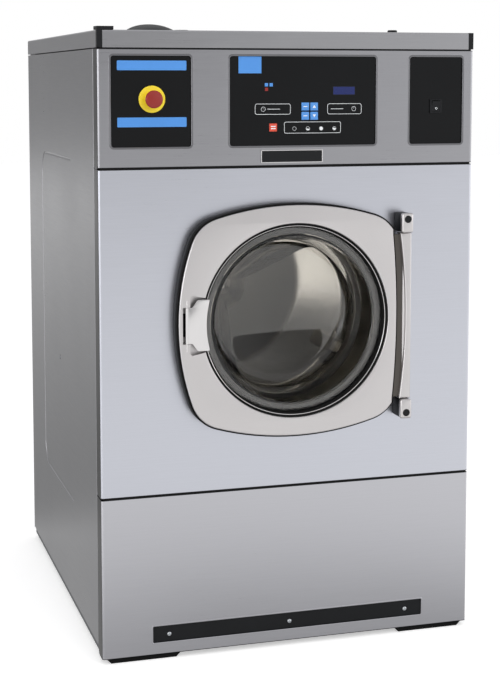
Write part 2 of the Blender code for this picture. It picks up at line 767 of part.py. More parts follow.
def key_places():
    """List each key's name, centre and colour."""
    size = (CONTROL_WINDOW_WIDTH, WINDOW_HEIGHT)
    x, z = share_of(CONTROL_WINDOW, *size, KEYPAD_PLACE_SHARE)
    stop = share_of(CONTROL_WINDOW, *size, STOP_KEY_PLACE_SHARE)
    right, lower = x + KEY_PITCH_X, z - KEY_PITCH_Z
    return (
        ("program_up_key", (x, z), "blue plastic"),
        ("value_up_key", (right, z), "blue plastic"),
        ("program_down_key", (x, lower), "blue plastic"),
        ("value_down_key", (right, lower), "blue plastic"),
        ("cycle_stop_key", stop, "red plastic"),
    )


def key_holes():
    """List the holes of the control plate: five keys and the display."""
    side = KEY_SIZE + 2 * KEY_PLAY
    holes = [rectangle(centre, side, side) for name, centre, finish in key_places()]
    place = share_of(CONTROL_WINDOW, CONTROL_WINDOW_WIDTH, WINDOW_HEIGHT, DISPLAY_PLACE_SHARE)
    holes.append(rectangle(place, DISPLAY_WIDTH + 2 * SEAT, DISPLAY_HEIGHT + 2 * SEAT))
    return holes


def build_keys():
    """Make the display window and the five push keys with their retaining flanges."""
    place = share_of(CONTROL_WINDOW, CONTROL_WINDOW_WIDTH, WINDOW_HEIGHT, DISPLAY_PLACE_SHARE)
    flat_piece("display_window", [rectangle(place, DISPLAY_WIDTH, DISPLAY_HEIGHT)],
               PLATE_FRONT, PLATE_REAR, finish="display glass")
    for name, centre, finish in key_places():
        back = PLATE_REAR + SEAT
        cap = flat_piece(name, [rounded(rectangle(centre, KEY_SIZE, KEY_SIZE), EDGE, EDGE_STEPS)],
                         PLATE_FRONT - KEY_PROUD, back + KEY_FLANGE, finish=finish)
        side = KEY_SIZE + 2 * (KEY_PLAY + KEY_FLANGE_LAP)
        join(cap, flat_piece(name + "_flange", [rectangle(centre, side, side)],
                             back, back + KEY_FLANGE - SEAT))
        carried_by((centre[0], back, centre[1]), name + "_pivot", [cap])


def stop_centre():
    """Give the middle of the emergency stop on its plate."""
    return share_of(STOP_WINDOW, STOP_WINDOW_WIDTH, WINDOW_HEIGHT, STOP_PLACE_SHARE)


def stop_hole():
    """Give the round hole that the stop's barrel passes through."""
    return circle(stop_centre(), STOP_BARREL_RADIUS + SEAT, SMALL_STEPS)


def build_emergency_stop():
    """Make the yellow ring with its barrel, the sliding stem and the red mushroom."""
    centre = stop_centre()
    bore = STOP_STEM_RADIUS + SEAT
    disc_back = PLATE_FRONT - SEAT
    disc_front = disc_back - STOP_RING_THICKNESS
    collar = FRONT - STOP_COLLAR_PROUD
    barrel = disc_back + STOP_BARREL_LENGTH
    turned("stop_ring", [(bore, collar), (STOP_COLLAR_RADIUS, collar), (STOP_COLLAR_RADIUS, disc_front),
                         (STOP_RING_RADIUS, disc_front), (STOP_RING_RADIUS, disc_back),
                         (STOP_BARREL_RADIUS, disc_back), (STOP_BARREL_RADIUS, barrel), (bore, barrel)],
           centre, "yellow plastic", steps=MEDIUM_STEPS)
    socket = FRONT - STOP_SOCKET_PROUD
    tail = barrel + STOP_STEM_TAIL
    stem = rod("stop_stem", (centre[0], socket + SEAT, centre[1]), (centre[0], tail, centre[1]),
               STOP_STEM_RADIUS, "black plastic")
    face = FRONT - STOP_HEAD_PROUD
    rim = FRONT - STOP_HEAD_RIM
    skirt = FRONT - STOP_HEAD_SKIRT
    neck = bore + STOP_NECK_WALL
    crown = rim - face
    dome = [(STOP_HEAD_RADIUS * math.sin(angle), rim - crown * math.cos(angle))
            for angle in (math.pi / 2 * step / CORNER_STEPS for step in range(1, CORNER_STEPS + 1))]
    underside = [(STOP_HEAD_RADIUS, (rim + skirt) / 2), (neck, skirt), (bore, skirt),
                 (bore, socket), (0, socket)]
    button = turned("stop_button", [(0, face)] + dome + underside, centre, "red plastic",
                    steps=MEDIUM_STEPS)
    place = (centre[0], socket, centre[1])
    slide = carried_by(place, "stop_slide", [stem])
    twist = carried_by(place, "stop_twist", [button])
    carry_pivot(twist, slide)


def switch_centre():
    """Give the middle of the power switch on its plate."""
    return share_of(SWITCH_WINDOW, SWITCH_WINDOW_WIDTH, WINDOW_HEIGHT, SWITCH_PLACE_SHARE)


def rocker_hole():
    """Give the rectangular hole that the rocker swings in."""
    sweep = math.hypot(ROCKER_HEIGHT / 2, ROCKER_PROUD)
    return rectangle(switch_centre(), ROCKER_WIDTH + 2 * ROCKER_PLAY, 2 * (sweep + ROCKER_PLAY))


def build_power_switch():
    """Make the switch bezel and its rocker."""
    x, z = switch_centre()
    hole = rocker_hole()
    width = hole[1][0] - hole[0][0] + 2 * BEZEL_RIM_SIDE
    height = hole[2][1] - hole[1][1] + 2 * BEZEL_RIM_END
    outline = rounded(rectangle((x, z), width, height), EDGE, EDGE_STEPS)
    flat_piece("rocker_bezel", [outline, hole], PLATE_FRONT - SEAT - BEZEL_THICKNESS,
               PLATE_FRONT - SEAT, finish="black plastic")
    half = ROCKER_HEIGHT / 2
    pivot = PLATE_FRONT - SEAT
    back = arc((0, 0), half, -math.pi / 2, math.pi / 2, SWEEP_STEPS)
    profile = back + [(-ROCKER_PROUD, half), (-ROCKER_PROUD + ROCKER_DIP, 0), (-ROCKER_PROUD, -half)]
    tilt = math.radians(ROCKER_TILT)
    outline = [(pivot + a * math.cos(tilt) - b * math.sin(tilt), z + a * math.sin(tilt) + b * math.cos(tilt))
               for a, b in profile]
    rocker = flat_piece("power_rocker", [outline], x - ROCKER_WIDTH / 2, x + ROCKER_WIDTH / 2, "side",
                        "black plastic")
    carried_by((x, pivot, z), "rocker_pivot", [rocker])


def build_side_panels():
    """Fold the two side panels, with a tab under the front panels' returns."""
    step = FRONT + FRONT_RETURN + PANEL_GAP
    tab_start = FRONT + FRONT_RETURN - TAB_DEPTH
    outer = HALF_WIDTH
    tab = HALF_WIDTH - SHEET - SEAT
    lip = HALF_WIDTH - REAR_RETURN
    corners = [(tab, tab_start), (tab, step), (outer, step), (outer, REAR), (lip, REAR),
               (lip, REAR - SHEET), (outer - SHEET, REAR - SHEET), (outer - SHEET, step + SHEET),
               (tab - SHEET, step + SHEET), (tab - SHEET, tab_start)]
    tight = BEND_RADIUS - SHEET
    right = rounded(corners, [0, 0, EDGE, BEND_RADIUS, 0, 0, tight, 0, 0, 0])
    left = [(-x, y) for x, y in reversed(right)]
    for name, outline in (("left_side_panel", left), ("right_side_panel", right)):
        flat_piece(name, [outline], SIDE_BOTTOM, LID_BOTTOM - LID_SEAM, "up", "satin steel")


def build_rear_panel():
    """Make the rear panel with the holes for its fittings."""
    side = HALF_WIDTH - BEND_RADIUS - REAR_PLAY
    top = LID_BOTTOM - SEAT
    outline = [(-side, SIDE_BOTTOM), (side, SIDE_BOTTOM), (side, top), (-side, top)]
    holes = [circle((0, DRAIN_PIPE_HEIGHT), DRAIN_PIPE_RADIUS + PORT_PLAY),
             circle((GLAND_SIDE, GLAND_HEIGHT), GLAND_RADIUS + PORT_PLAY, SMALL_STEPS)]
    for port in inlet_ports():
        holes.append(circle(port, INLET_PORT_RADIUS + PORT_PLAY, SMALL_STEPS))
    flat_piece("rear_panel", [outline] + holes, REAR_PANEL_INNER, REAR_PANEL_INNER + SHEET,
               finish="satin steel")


def build_lid():
    """Press the lid from one sheet, open below, with room for its corners and the hopper."""
    bpy.ops.mesh.primitive_cube_add(size=1)
    lid = bpy.context.object
    size = Matrix.Diagonal((CABINET_WIDTH, CABINET_DEPTH, LID_BAND, 1))
    middle = Matrix.Translation((0, (FRONT + REAR) / 2, LID_BOTTOM + LID_BAND / 2))
    lid.data.transform(middle @ size)
    skin = bmesh.new()
    skin.from_mesh(lid.data)
    under = [face for face in skin.faces if face.normal.z < -0.5]
    bmesh.ops.delete(skin, geom=under, context="FACES_ONLY")
    skin.to_mesh(lid.data)
    skin.free()
    finish_piece(lid, "top_panel", "satin steel")
    soften(lid, BEND_RADIUS / 2)
    wall = lid.modifiers.new("sheet", "SOLIDIFY")
    wall.thickness = SHEET
    wall.offset = -1
    reach = CORNER_SIZE + SEAT
    cutters = []
    for side in (-1, 1):
        inner = side * (HALF_WIDTH - reach)
        outer = side * (HALF_WIDTH + OVERRUN)
        cutters.append(box("corner_notch", (min(inner, outer), FRONT - OVERRUN, LID_BOTTOM - OVERRUN),
                           (max(inner, outer), FRONT + reach, CABINET_HEIGHT + OVERRUN)))
    x, y = HOPPER_SIDE, FRONT + HOPPER_PLACE
    half_x = HOPPER_WIDTH / 2 + HOPPER_PLAY
    half_y = HOPPER_LENGTH / 2 + HOPPER_PLAY
    cutters.append(box("hopper_opening", (x - half_x, y - half_y, LID_BOTTOM),
                       (x + half_x, y + half_y, CABINET_HEIGHT + OVERRUN)))
    cut(lid, *cutters)
    build_lid_corners()


def build_lid_corners():
    """Make the black corner pieces, the left one with its raised cap."""
    for side, name in ((-1, "lid_corner_left"), (1, "lid_corner_right")):
        inner = side * (HALF_WIDTH - CORNER_SIZE)
        outer = side * HALF_WIDTH
        post = box(name, (min(inner, outer), FRONT, LID_BOTTOM + SEAT),
                   (max(inner, outer), FRONT + CORNER_SIZE, CABINET_HEIGHT), "black plastic")
        if side < 0:
            base = CABINET_HEIGHT + SEAT
            cap = box("corner_cap", (outer, FRONT, base),
                      (outer + CORNER_CAP_SIZE, FRONT + CORNER_CAP_SIZE, base + CORNER_CAP_HEIGHT))
            neck = box("corner_neck", (outer, FRONT, CABINET_HEIGHT - EDGE),
                       (inner, FRONT + CORNER_SIZE, base + EDGE))
            join(post, neck, cap)


def build_hopper():
    """Make the supply hopper in the lid, its chute to the tub and its hinged cover."""
    x, y = HOPPER_SIDE, FRONT + HOPPER_PLACE
    half_x, half_y = HOPPER_WIDTH / 2, HOPPER_LENGTH / 2
    rim_base = CABINET_HEIGHT + SEAT
    rim_top = rim_base + HOPPER_RIM_THICKNESS
    floor = CABINET_HEIGHT - HOPPER_DEPTH
    body = box("hopper_box", (x - half_x, y - half_y, floor), (x + half_x, y + half_y, rim_top),
               "black plastic")
    rim_x, rim_y = half_x + HOPPER_RIM, half_y + HOPPER_RIM
    rim = box("hopper_rim", (x - rim_x, y - rim_y, rim_base), (x + rim_x, y + rim_y, rim_top))
    nearest = abs(x) - CHUTE_RADIUS
    tub_top = DRUM_AXIS_HEIGHT + math.sqrt((TUB_RADIUS + SEAT) ** 2 - nearest ** 2)
    chute = rod("hopper_chute", (x, y, tub_top), (x, y, floor + HOPPER_WALL), CHUTE_RADIUS)
    hinge_y = y + rim_y + LID_PIN_SET
    hinge_z = rim_top + LID_PIN_SET
    barrel = half_x * 2 * LID_BARREL_SHARE
    ears = []
    for side in (-1, 1):
        start = x + side * (barrel / 2 + SEAT)
        end = start + side * LID_EAR_WIDTH
        ears.append(box("lid_ear", (min(start, end), y + rim_y - HOPPER_RIM, rim_base),
                        (max(start, end), hinge_y + LID_PIN_RADIUS, hinge_z + LID_PIN_RADIUS)))
    relief = box("ear_relief", (x - rim_x, y + half_y - OVERRUN, rim_top),
                 (x + rim_x, hinge_y - LID_PIN_RADIUS, rim_top + HOPPER_LID_HEIGHT))
    cavity = box("hopper_cavity", (x - half_x + HOPPER_WALL, y - half_y + HOPPER_WALL, floor + HOPPER_WALL),
                 (x + half_x - HOPPER_WALL, y + half_y - HOPPER_WALL, rim_top + OVERRUN))
    join(body, rim, chute, *ears)
    cut(body, relief, cavity)
    build_hopper_lid((x, y), (rim_x, rim_y), rim_top, (hinge_y, hinge_z), barrel)


def build_hopper_lid(centre, half, rim_top, hinge, barrel):
    """Make the crowned cover of the hopper with its hinge barrel."""
    x, y = centre
    base = rim_top + SEAT
    shoulder = base + HOPPER_LID_HEIGHT - HOPPER_LID_CROWN

    def section(inset):
        """List the crowned section of the cover, drawn in by a wall."""
        width = half[0] - inset
        crown = HOPPER_LID_CROWN - inset
        start = 0 if inset == 0 else -OVERRUN
        points = [(x - width, base + start), (x + width, base + start)]
        for step in range(SWEEP_STEPS + 1):
            angle = math.pi * step / SWEEP_STEPS
            points.append((x + width * math.cos(angle), shoulder + crown * math.sin(angle)))
        return points

    cover = flat_piece("hopper_lid", [section(0)], y - half[1], y + half[1], finish="black plastic")
    wall = HOPPER_LID_WALL
    hollow = flat_piece("lid_hollow", [section(wall)], y - half[1] + wall, y + half[1] - wall)
    arm = box("lid_arm", (x - barrel / 2, y + half[1] - wall / 2, base),
              (x + barrel / 2, hinge[0], hinge[1]))
    pin = rod("lid_barrel", (x - barrel / 2, *hinge), (x + barrel / 2, *hinge), LID_PIN_RADIUS)
    cut(cover, hollow)
    join(cover, arm, pin)
    carried_by((x, *hinge), "hopper_lid_pivot", [cover])


def build_tub():
    """Make the tub, its front with the loading mouth and the door gasket."""
    centre = (0, DRUM_AXIS_HEIGHT)
    hub = BEARING_RADIUS + BEARING_SETBACK
    inner = TUB_RADIUS - TUB_WALL
    turned("tub_shell", [(TUB_RADIUS, TUB_FRONT), (TUB_RADIUS, TUB_REAR), (hub, TUB_REAR),
                         (hub, TUB_REAR - TUB_WALL), (inner, TUB_REAR - TUB_WALL), (inner, TUB_FRONT)],
           centre, "stainless steel")
    back = TUB_FRONT - SEAT
    face = back - TUB_WALL
    neck = MOUTH_RADIUS - TUB_WALL
    start = FRONT + MOUTH_START
    turned("tub_front", [(TUB_RADIUS, face), (TUB_RADIUS, back), (neck, back), (neck, start),
                         (MOUTH_RADIUS, start), (MOUTH_RADIUS, face)], centre, "stainless steel")
    clamp_back = GLASS_FRONT + GLASS_SEAT_DEPTH - SEAT
    front = clamp_back + SEAT
    lip = GASKET_RADIUS - GASKET_WIDTH
    rear = start - SEAT
    turned("door_gasket", [(GASKET_RADIUS, front), (GASKET_RADIUS, rear), (lip, rear),
                           (lip, front + GASKET_CHAMFER), (lip + GASKET_CHAMFER, front)],
           centre, "black rubber")


def build_drum():
    """Make the drum with its lifters, the spider with its shaft and the bearings."""
    centre = (0, DRUM_AXIS_HEIGHT)
    inner = DRUM_RADIUS - DRUM_WALL
    lip = DRUM_MOUTH_RADIUS + DRUM_WALL
    nose = DRUM_FRONT - DRUM_LIP
    drum = turned("drum_shell", [(DRUM_RADIUS, DRUM_FRONT), (DRUM_RADIUS, DRUM_REAR),
                                 (DRUM_HUB_HOLE, DRUM_REAR), (DRUM_HUB_HOLE, DRUM_REAR - DRUM_WALL),
                                 (inner, DRUM_REAR - DRUM_WALL), (inner, DRUM_FRONT + DRUM_WALL),
                                 (DRUM_MOUTH_RADIUS, DRUM_FRONT + DRUM_WALL), (DRUM_MOUTH_RADIUS, nose),
                                 (lip, nose), (lip, DRUM_FRONT)], centre, "stainless steel")
    middle = inner + DRUM_WALL / 2
    spread = math.asin(LIFTER_BASE / 2 / middle)
    lifters = []
    for number in range(LIFTER_COUNT):
        turn = math.pi / 2 + 2 * math.pi * number / LIFTER_COUNT
        base = arc(centre, middle, turn - spread, turn + spread, SWEEP_STEPS)
        tip = inner - LIFTER_HEIGHT
        lean = math.atan(LIFTER_TOP / 2 / tip)
        top = arc(centre, math.hypot(tip, LIFTER_TOP / 2), turn + lean, turn - lean, 1)
        soft = [0] * len(base) + [LIFTER_ROUND] * len(top)
        lifters.append(flat_piece("drum_lifter", [rounded(base + top, soft)],
                                  DRUM_FRONT + LIFTER_END_GAP, DRUM_REAR - LIFTER_END_GAP))
    join(drum, *lifters)

    start = DRUM_REAR + SEAT
    arms = []
    for number in range(LIFTER_COUNT):
        turn = math.pi / 2 + 2 * math.pi * number / LIFTER_COUNT
        reach = DRUM_RADIUS - SPIDER_END_GAP
        edge = math.asin(SPIDER_ARM / 2 / reach)
        root = math.asin(SPIDER_ARM / 2 / SPIDER_HUB)
        arms += arc(centre, reach, turn - edge, turn + edge, EDGE_STEPS)
        following = turn + 2 * math.pi / LIFTER_COUNT
        arms += arc(centre, SPIDER_HUB, turn + root, following - root, SWEEP_STEPS)
    spider = flat_piece("drum_spider", [arms], start, start + SPIDER_THICKNESS, finish="cast iron")
    tail = PULLEY_REAR + SHAFT_TAIL
    shaft = rod("drum_shaft", (0, start + SPIDER_THICKNESS / 2, DRUM_AXIS_HEIGHT),
                (0, tail, DRUM_AXIS_HEIGHT), SHAFT_RADIUS, steps=MEDIUM_STEPS)
    join(spider, shaft)

    seat = BEARING_WIDTH + BEARING_SETBACK
    bore = BEARING_RADIUS + SEAT
    turned("bearing_housing", [(HOUSING_FLANGE, HOUSING_FRONT),
                               (HOUSING_FLANGE, HOUSING_FRONT + HOUSING_FLANGE_THICKNESS),
                               (HOUSING_RADIUS, HOUSING_FRONT + HOUSING_FLANGE_THICKNESS),
                               (HOUSING_RADIUS, HOUSING_REAR), (bore, HOUSING_REAR),
                               (bore, HOUSING_REAR - seat), (HOUSING_BORE, HOUSING_REAR - seat),
                               (HOUSING_BORE, HOUSING_FRONT + seat), (bore, HOUSING_FRONT + seat),
                               (bore, HOUSING_FRONT)], centre, "cast iron", steps=MEDIUM_STEPS)
    race = SHAFT_RADIUS + SEAT
    for name, first in (("front_bearing", HOUSING_FRONT + BEARING_SETBACK - SEAT),
                        ("rear_bearing", HOUSING_REAR - seat + SEAT)):
        last = first + BEARING_WIDTH
        turned(name, [(BEARING_RADIUS, first), (BEARING_RADIUS, last), (race, last), (race, first)],
               centre, "polished steel", steps=MEDIUM_STEPS)


def build_drive():
    """Make the pulleys, the belt, the motor and the bracket that carries it."""
    drum = (0, DRUM_AXIS_HEIGHT)
    motor = (MOTOR_SIDE, MOTOR_HEIGHT)
    bore = SHAFT_RADIUS + SEAT
    web_front = (PULLEY_FRONT + PULLEY_REAR - PULLEY_WEB) / 2
    web_rear = web_front + PULLEY_WEB
    rim = PULLEY_RADIUS - PULLEY_RIM
    turned("drum_pulley", [(PULLEY_RADIUS, PULLEY_FRONT), (PULLEY_RADIUS, PULLEY_REAR), (rim, PULLEY_REAR),
                           (rim, web_rear), (PULLEY_HUB, web_rear), (PULLEY_HUB, PULLEY_REAR),
                           (bore, PULLEY_REAR), (bore, PULLEY_FRONT), (PULLEY_HUB, PULLEY_FRONT),
                           (PULLEY_HUB, web_front), (rim, web_front), (rim, PULLEY_FRONT)],
           drum, "cast iron", steps=PULLEY_STEPS)

    motor_rear = PULLEY_FRONT - PULLEY_GAP
    motor_front = motor_rear - MOTOR_LENGTH
    socket = MOTOR_SHAFT + MOTOR_PLAY
    turned("motor", [(0, motor_front), (MOTOR_BELL, motor_front),
                     (MOTOR_RADIUS, motor_front + MOTOR_BELL_LENGTH),
                     (MOTOR_RADIUS, motor_rear - MOTOR_BELL_LENGTH), (MOTOR_BELL, motor_rear),
                     (socket, motor_rear), (socket, motor_rear - MOTOR_SHAFT_IN),
                     (0, motor_rear - MOTOR_SHAFT_IN)], motor, "painted steel", steps=MEDIUM_STEPS)
    turned("motor_pulley", [(0, motor_rear - MOTOR_SHAFT_IN + MOTOR_PLAY),
                            (MOTOR_SHAFT, motor_rear - MOTOR_SHAFT_IN + MOTOR_PLAY),
                            (MOTOR_SHAFT, PULLEY_FRONT), (MOTOR_PULLEY_RADIUS, PULLEY_FRONT),
                            (MOTOR_PULLEY_RADIUS, PULLEY_REAR), (0, PULLEY_REAR)],
           motor, "cast iron", steps=MEDIUM_STEPS)

    middle = (PULLEY_FRONT + PULLEY_REAR) / 2
    inside = belt_outline(drum, PULLEY_RADIUS + SEAT, motor, MOTOR_PULLEY_RADIUS + SEAT)
    outside = belt_outline(drum, PULLEY_RADIUS + SEAT + BELT_THICKNESS,
                           motor, MOTOR_PULLEY_RADIUS + SEAT + BELT_THICKNESS)
    flat_piece("drive_belt", [outside, inside], middle - BELT_WIDTH / 2, middle + BELT_WIDTH / 2,
               finish="black rubber")

    outer = HALF_WIDTH - SHEET - CRADLE_SIDE_GAP
    bottom = RAIL_TOP + SEAT
    top = bottom + BRACKET_PLATE
    radius = MOTOR_RADIUS + SEAT
    half = SADDLE_WIDTH / 2
    drop = math.asin(SADDLE_DROP / radius)
    bowl = clear_arc(motor, radius, -drop, drop - math.pi, SWEEP_STEPS)
    x, z = motor
    wide = max(half, radius * math.cos(drop) + BRACKET_PLATE)
    outline = [(-outer, bottom), (outer, bottom), (outer, top), (x + wide, top), (x + wide, z - SADDLE_DROP)]
    outline += bowl + [(x - wide, z - SADDLE_DROP), (x - wide, top), (-outer, top)]
    start = (motor_front + motor_rear - BRACKET_DEPTH) / 2
    flat_piece("motor_bracket", [outline], start, start + BRACKET_DEPTH, finish="painted steel")


def belt_outline(large, large_radius, small, small_radius):
    """Wrap two circles with one taut loop."""
    line = Vector(small) - Vector(large)
    heading = math.atan2(line.y, line.x)
    contact = math.acos((large_radius - small_radius) / line.length)
    far = clear_arc(large, large_radius, heading + contact, heading - contact + 2 * math.pi, ROUND_STEPS // 2)
    near = clear_arc(small, small_radius, heading - contact, heading + contact, SWEEP_STEPS)
    return far + near


def bulged_outline():
    """Draw the door frame: bowed sides, round corners and a straight hinge edge."""
    radius = FRAME_CORNER_RADIUS
    corners = [(-1, -1), (1, -1), (1, 1), (-1, 1)]
    corners = [Vector((a * FRAME_CORNER_X, b * FRAME_CORNER_Z)) for a, b in corners]
    bulges = [FRAME_TOP_BULGE, FRAME_SIDE_BULGE] * 2
    outline = []
    for index, corner in enumerate(corners):
        following = corners[(index + 1) % len(corners)]
        chord = following - corner
        half = chord.length / 2
        bow = (half ** 2 + bulges[index] ** 2) / (2 * bulges[index])
        outward = Vector((chord.y, -chord.x)).normalized()
        centre = (corner + following) / 2 + outward * (bulges[index] - bow)
        spread = math.asin(half / bow)
        heading = math.atan2(outward.y, outward.x)
        outline += arc(centre, bow + radius, heading - spread, heading + spread, SWEEP_STEPS)
        ahead = corners[(index + 2) % len(corners)] - following
        next_heading = math.atan2(-ahead.x, ahead.y)
        next_heading += 2 * math.pi if next_heading < heading else 0
        next_half, next_bulge = ahead.length / 2, bulges[index - 3]
        next_bow = (next_half ** 2 + next_bulge ** 2) / (2 * next_bulge)
        first, last = heading + spread, next_heading - math.asin(next_half / next_bow)
        outline += arc(following, radius, first, last, CORNER_STEPS + 1)[1:-1]
    return outline


def bar_reach():
    """Give how far the hinge bar reaches above and below its middle."""
    return LUG_PLACE - LUG_HEIGHT / 2 - BAR_END_GAP


def bowed_edge(side, bow, reach):
    """List points down a gently bowed upright edge, about height zero."""
    points = []
    for step in range(SWEEP_STEPS + 1):
        height = reach - 2 * reach * step / SWEEP_STEPS
        points.append((side + bow * (1 - (height / reach) ** 2), height))
    return points


def clip_right(outline, limit, edge):
    """Cut an outline off at its right and close it there with a bowed edge."""
    kept = []
    for index, here in enumerate(outline):
        ahead = outline[(index + 1) % len(outline)]
        if here[0] <= limit:
            kept.append(here)
        if here[0] <= limit < ahead[0]:
            share = (limit - here[0]) / (ahead[0] - here[0])
            kept.append((limit, here[1] + (ahead[1] - here[1]) * share))
            kept += edge[::-1]
        if ahead[0] <= limit < here[0]:
            share = (limit - here[0]) / (ahead[0] - here[0])
            kept.append((limit, here[1] + (ahead[1] - here[1]) * share))
    return kept


def build_door():
    """Make the door's frame, glass bowl, clamp ring and the bar that hinges it."""
    centre = (0, DRUM_AXIS_HEIGHT)
    edge = bowed_edge(FRAME_HINGE_EDGE, FRAME_HINGE_BOW, bar_reach() - LUG_EDGE)
    rim = clip_right(bulged_outline(), FRAME_HINGE_EDGE, edge)
    outline = [(x, z + DRUM_AXIS_HEIGHT) for x, z in rim]
    frame = flat_piece("door_frame", [outline, circle(centre, RING_RADIUS, ROUND_STEPS)],
                       FRAME_FACE, FRAME_BACK, finish="cast aluminium", edge=FRAME_EDGE)
    seat = flat_piece("glass_seat", [circle(centre, GLASS_SEAT_RADIUS, ROUND_STEPS)],
                      FRAME_BACK - GLASS_SEAT_DEPTH, FRAME_BACK + OVERRUN)
    cut(frame, seat, *handle_pocket())

    edge = GLASS_SEAT_RADIUS - GLASS_PLAY
    rear = FRONT + BOWL_DEPTH

    def bowl(inset):
        """List the bowl's profile from its mouth to the axis, drawn in by a wall."""
        shoulder = rear - BOWL_ROUND - BOWL_CROWN
        round_centre = BOWL_REAR_RADIUS - BOWL_ROUND
        radius = BOWL_ROUND - inset
        points = [(BOWL_RADIUS - inset, GLASS_BACK - inset)]
        for step in range(CORNER_STEPS + 1):
            angle = math.pi / 2 * step / CORNER_STEPS
            points.append((round_centre + radius * math.cos(angle), shoulder + radius * math.sin(angle)))
        return points + [(0, rear - inset)]

    back = bowl(0)
    hollow = bowl(GLASS_THICKNESS)
    flange = [(edge, GLASS_FRONT), (edge, GLASS_BACK)]
    turned("door_glass", hollow[::-1] + flange + back, centre, "clear glass")
    clamp_front = GLASS_BACK + SEAT
    clamp_back = GLASS_FRONT + GLASS_SEAT_DEPTH - SEAT
    inner = edge - CLAMP_WIDTH
    section = [(edge, clamp_front), (edge, clamp_back), (inner, clamp_back), (inner, clamp_front)]
    turned("glass_clamp", section, centre, "black plastic")


def handle_pocket():
    """Give the shapes cut in the door frame for the handle, its pin and its tongue."""
    x, y = HANDLE_AXIS
    z = DRUM_AXIS_HEIGHT
    left = x - POCKET_LEFT_GAP
    step = x + BARREL_RADIUS * 2
    right = -RING_RADIUS + PADDLE_NECK * 2
    narrow = BARREL_LENGTH / 2 + SEAT
    tall, short = POCKET_LEFT_HEIGHT / 2, POCKET_RIGHT_HEIGHT / 2
    corners = [(left, z - narrow), (step, z - narrow), (step, z - tall), (right, z - short),
               (right, z + short), (step, z + tall), (step, z + narrow), (left, z + narrow)]
    soft = PADDLE_ROUND
    pocket = flat_piece("handle_pocket", [rounded(corners, [EDGE, 0, soft, 0, 0, soft, 0, EDGE])],
                        FRAME_FACE - OVERRUN, FRAME_FACE + POCKET_DEPTH)
    pin = pin_reach()
    bore = rod("handle_pin_bore", (x, y, z - pin - SEAT), (x, y, z + pin + SEAT),
               HANDLE_PIN_RADIUS + PIN_PLAY)
    low, high = tongue_slot(0)
    slot = box("tongue_way", (low[0], FRAME_FACE + POCKET_DEPTH - OVERRUN, low[2]),
               (high[0], FRAME_BACK + OVERRUN, high[2]))
    return pocket, bore, slot


def pin_reach():
    """Give how far the handle's pin reaches from its middle."""
    return BARREL_LENGTH / 2 + HANDLE_PIN_TAIL


def build_handle():
    """Make the pull handle: barrel, pin, flared paddle and latch tongue."""
    x, y = HANDLE_AXIS
    z = DRUM_AXIS_HEIGHT
    half = BARREL_LENGTH / 2 - SEAT
    wide = PADDLE_HEIGHT / 2
    neck = x + PADDLE_NECK
    shoulder = neck + PADDLE_NECK
    reach = x + PADDLE_REACH
    bend = math.asin(wide / RING_RADIUS)
    hollow = RING_RADIUS * (1 - math.cos(bend))
    edge = []
    for step in range(SWEEP_STEPS + 1):
        angle = -bend + 2 * bend * step / SWEEP_STEPS
        edge.append((reach - hollow + RING_RADIUS * (1 - math.cos(angle)), z + RING_RADIUS * math.sin(angle)))
    corners = [(x, z - half), (neck, z - half), (shoulder, z - wide)] + edge
    corners += [(shoulder, z + wide), (neck, z + half), (x, z + half)]
    radii = [0, PADDLE_ROUND, PADDLE_ROUND, PADDLE_ROUND] + [0] * (len(edge) - 2)
    radii += [PADDLE_ROUND, PADDLE_ROUND, PADDLE_ROUND, 0]
    thick = PADDLE_THICKNESS / 2
    handle = flat_piece("door_handle", [rounded(corners, radii)], y - thick, y + thick,
                        finish="polished steel")
    barrel = rod("handle_barrel", (x, y, z - half), (x, y, z + half), BARREL_RADIUS)
    pin = rod("handle_pin", (x, y, z - pin_reach()), (x, y, z + pin_reach()), HANDLE_PIN_RADIUS)
    tongue = box("latch_tongue", (x - TONGUE_THICKNESS / 2, y, z - TONGUE_HEIGHT / 2),
                 (x + TONGUE_THICKNESS / 2, FRONT + TONGUE_DEPTH, z + TONGUE_HEIGHT / 2))
    join(handle, barrel, pin, tongue)
    return handle


def build_lock():
    """Make the lock housing behind the door panel that takes the tongue."""
    low, high = tongue_slot(0)
    start = FRONT + SHEET + SEAT
    housing = box("door_lock", (low[0] - LOCK_OUTER_WALL, start, DRUM_AXIS_HEIGHT - LOCK_HEIGHT / 2),
                  (high[0] + LOCK_WALL, start + LOCK_DEPTH, DRUM_AXIS_HEIGHT + LOCK_HEIGHT / 2),
                  "painted steel")
    depth = TONGUE_DEPTH + TONGUE_SWEEP / 2
    cut(housing, box("lock_pocket", (low[0], start - OVERRUN, low[2]), (high[0], FRONT + depth, high[2])))


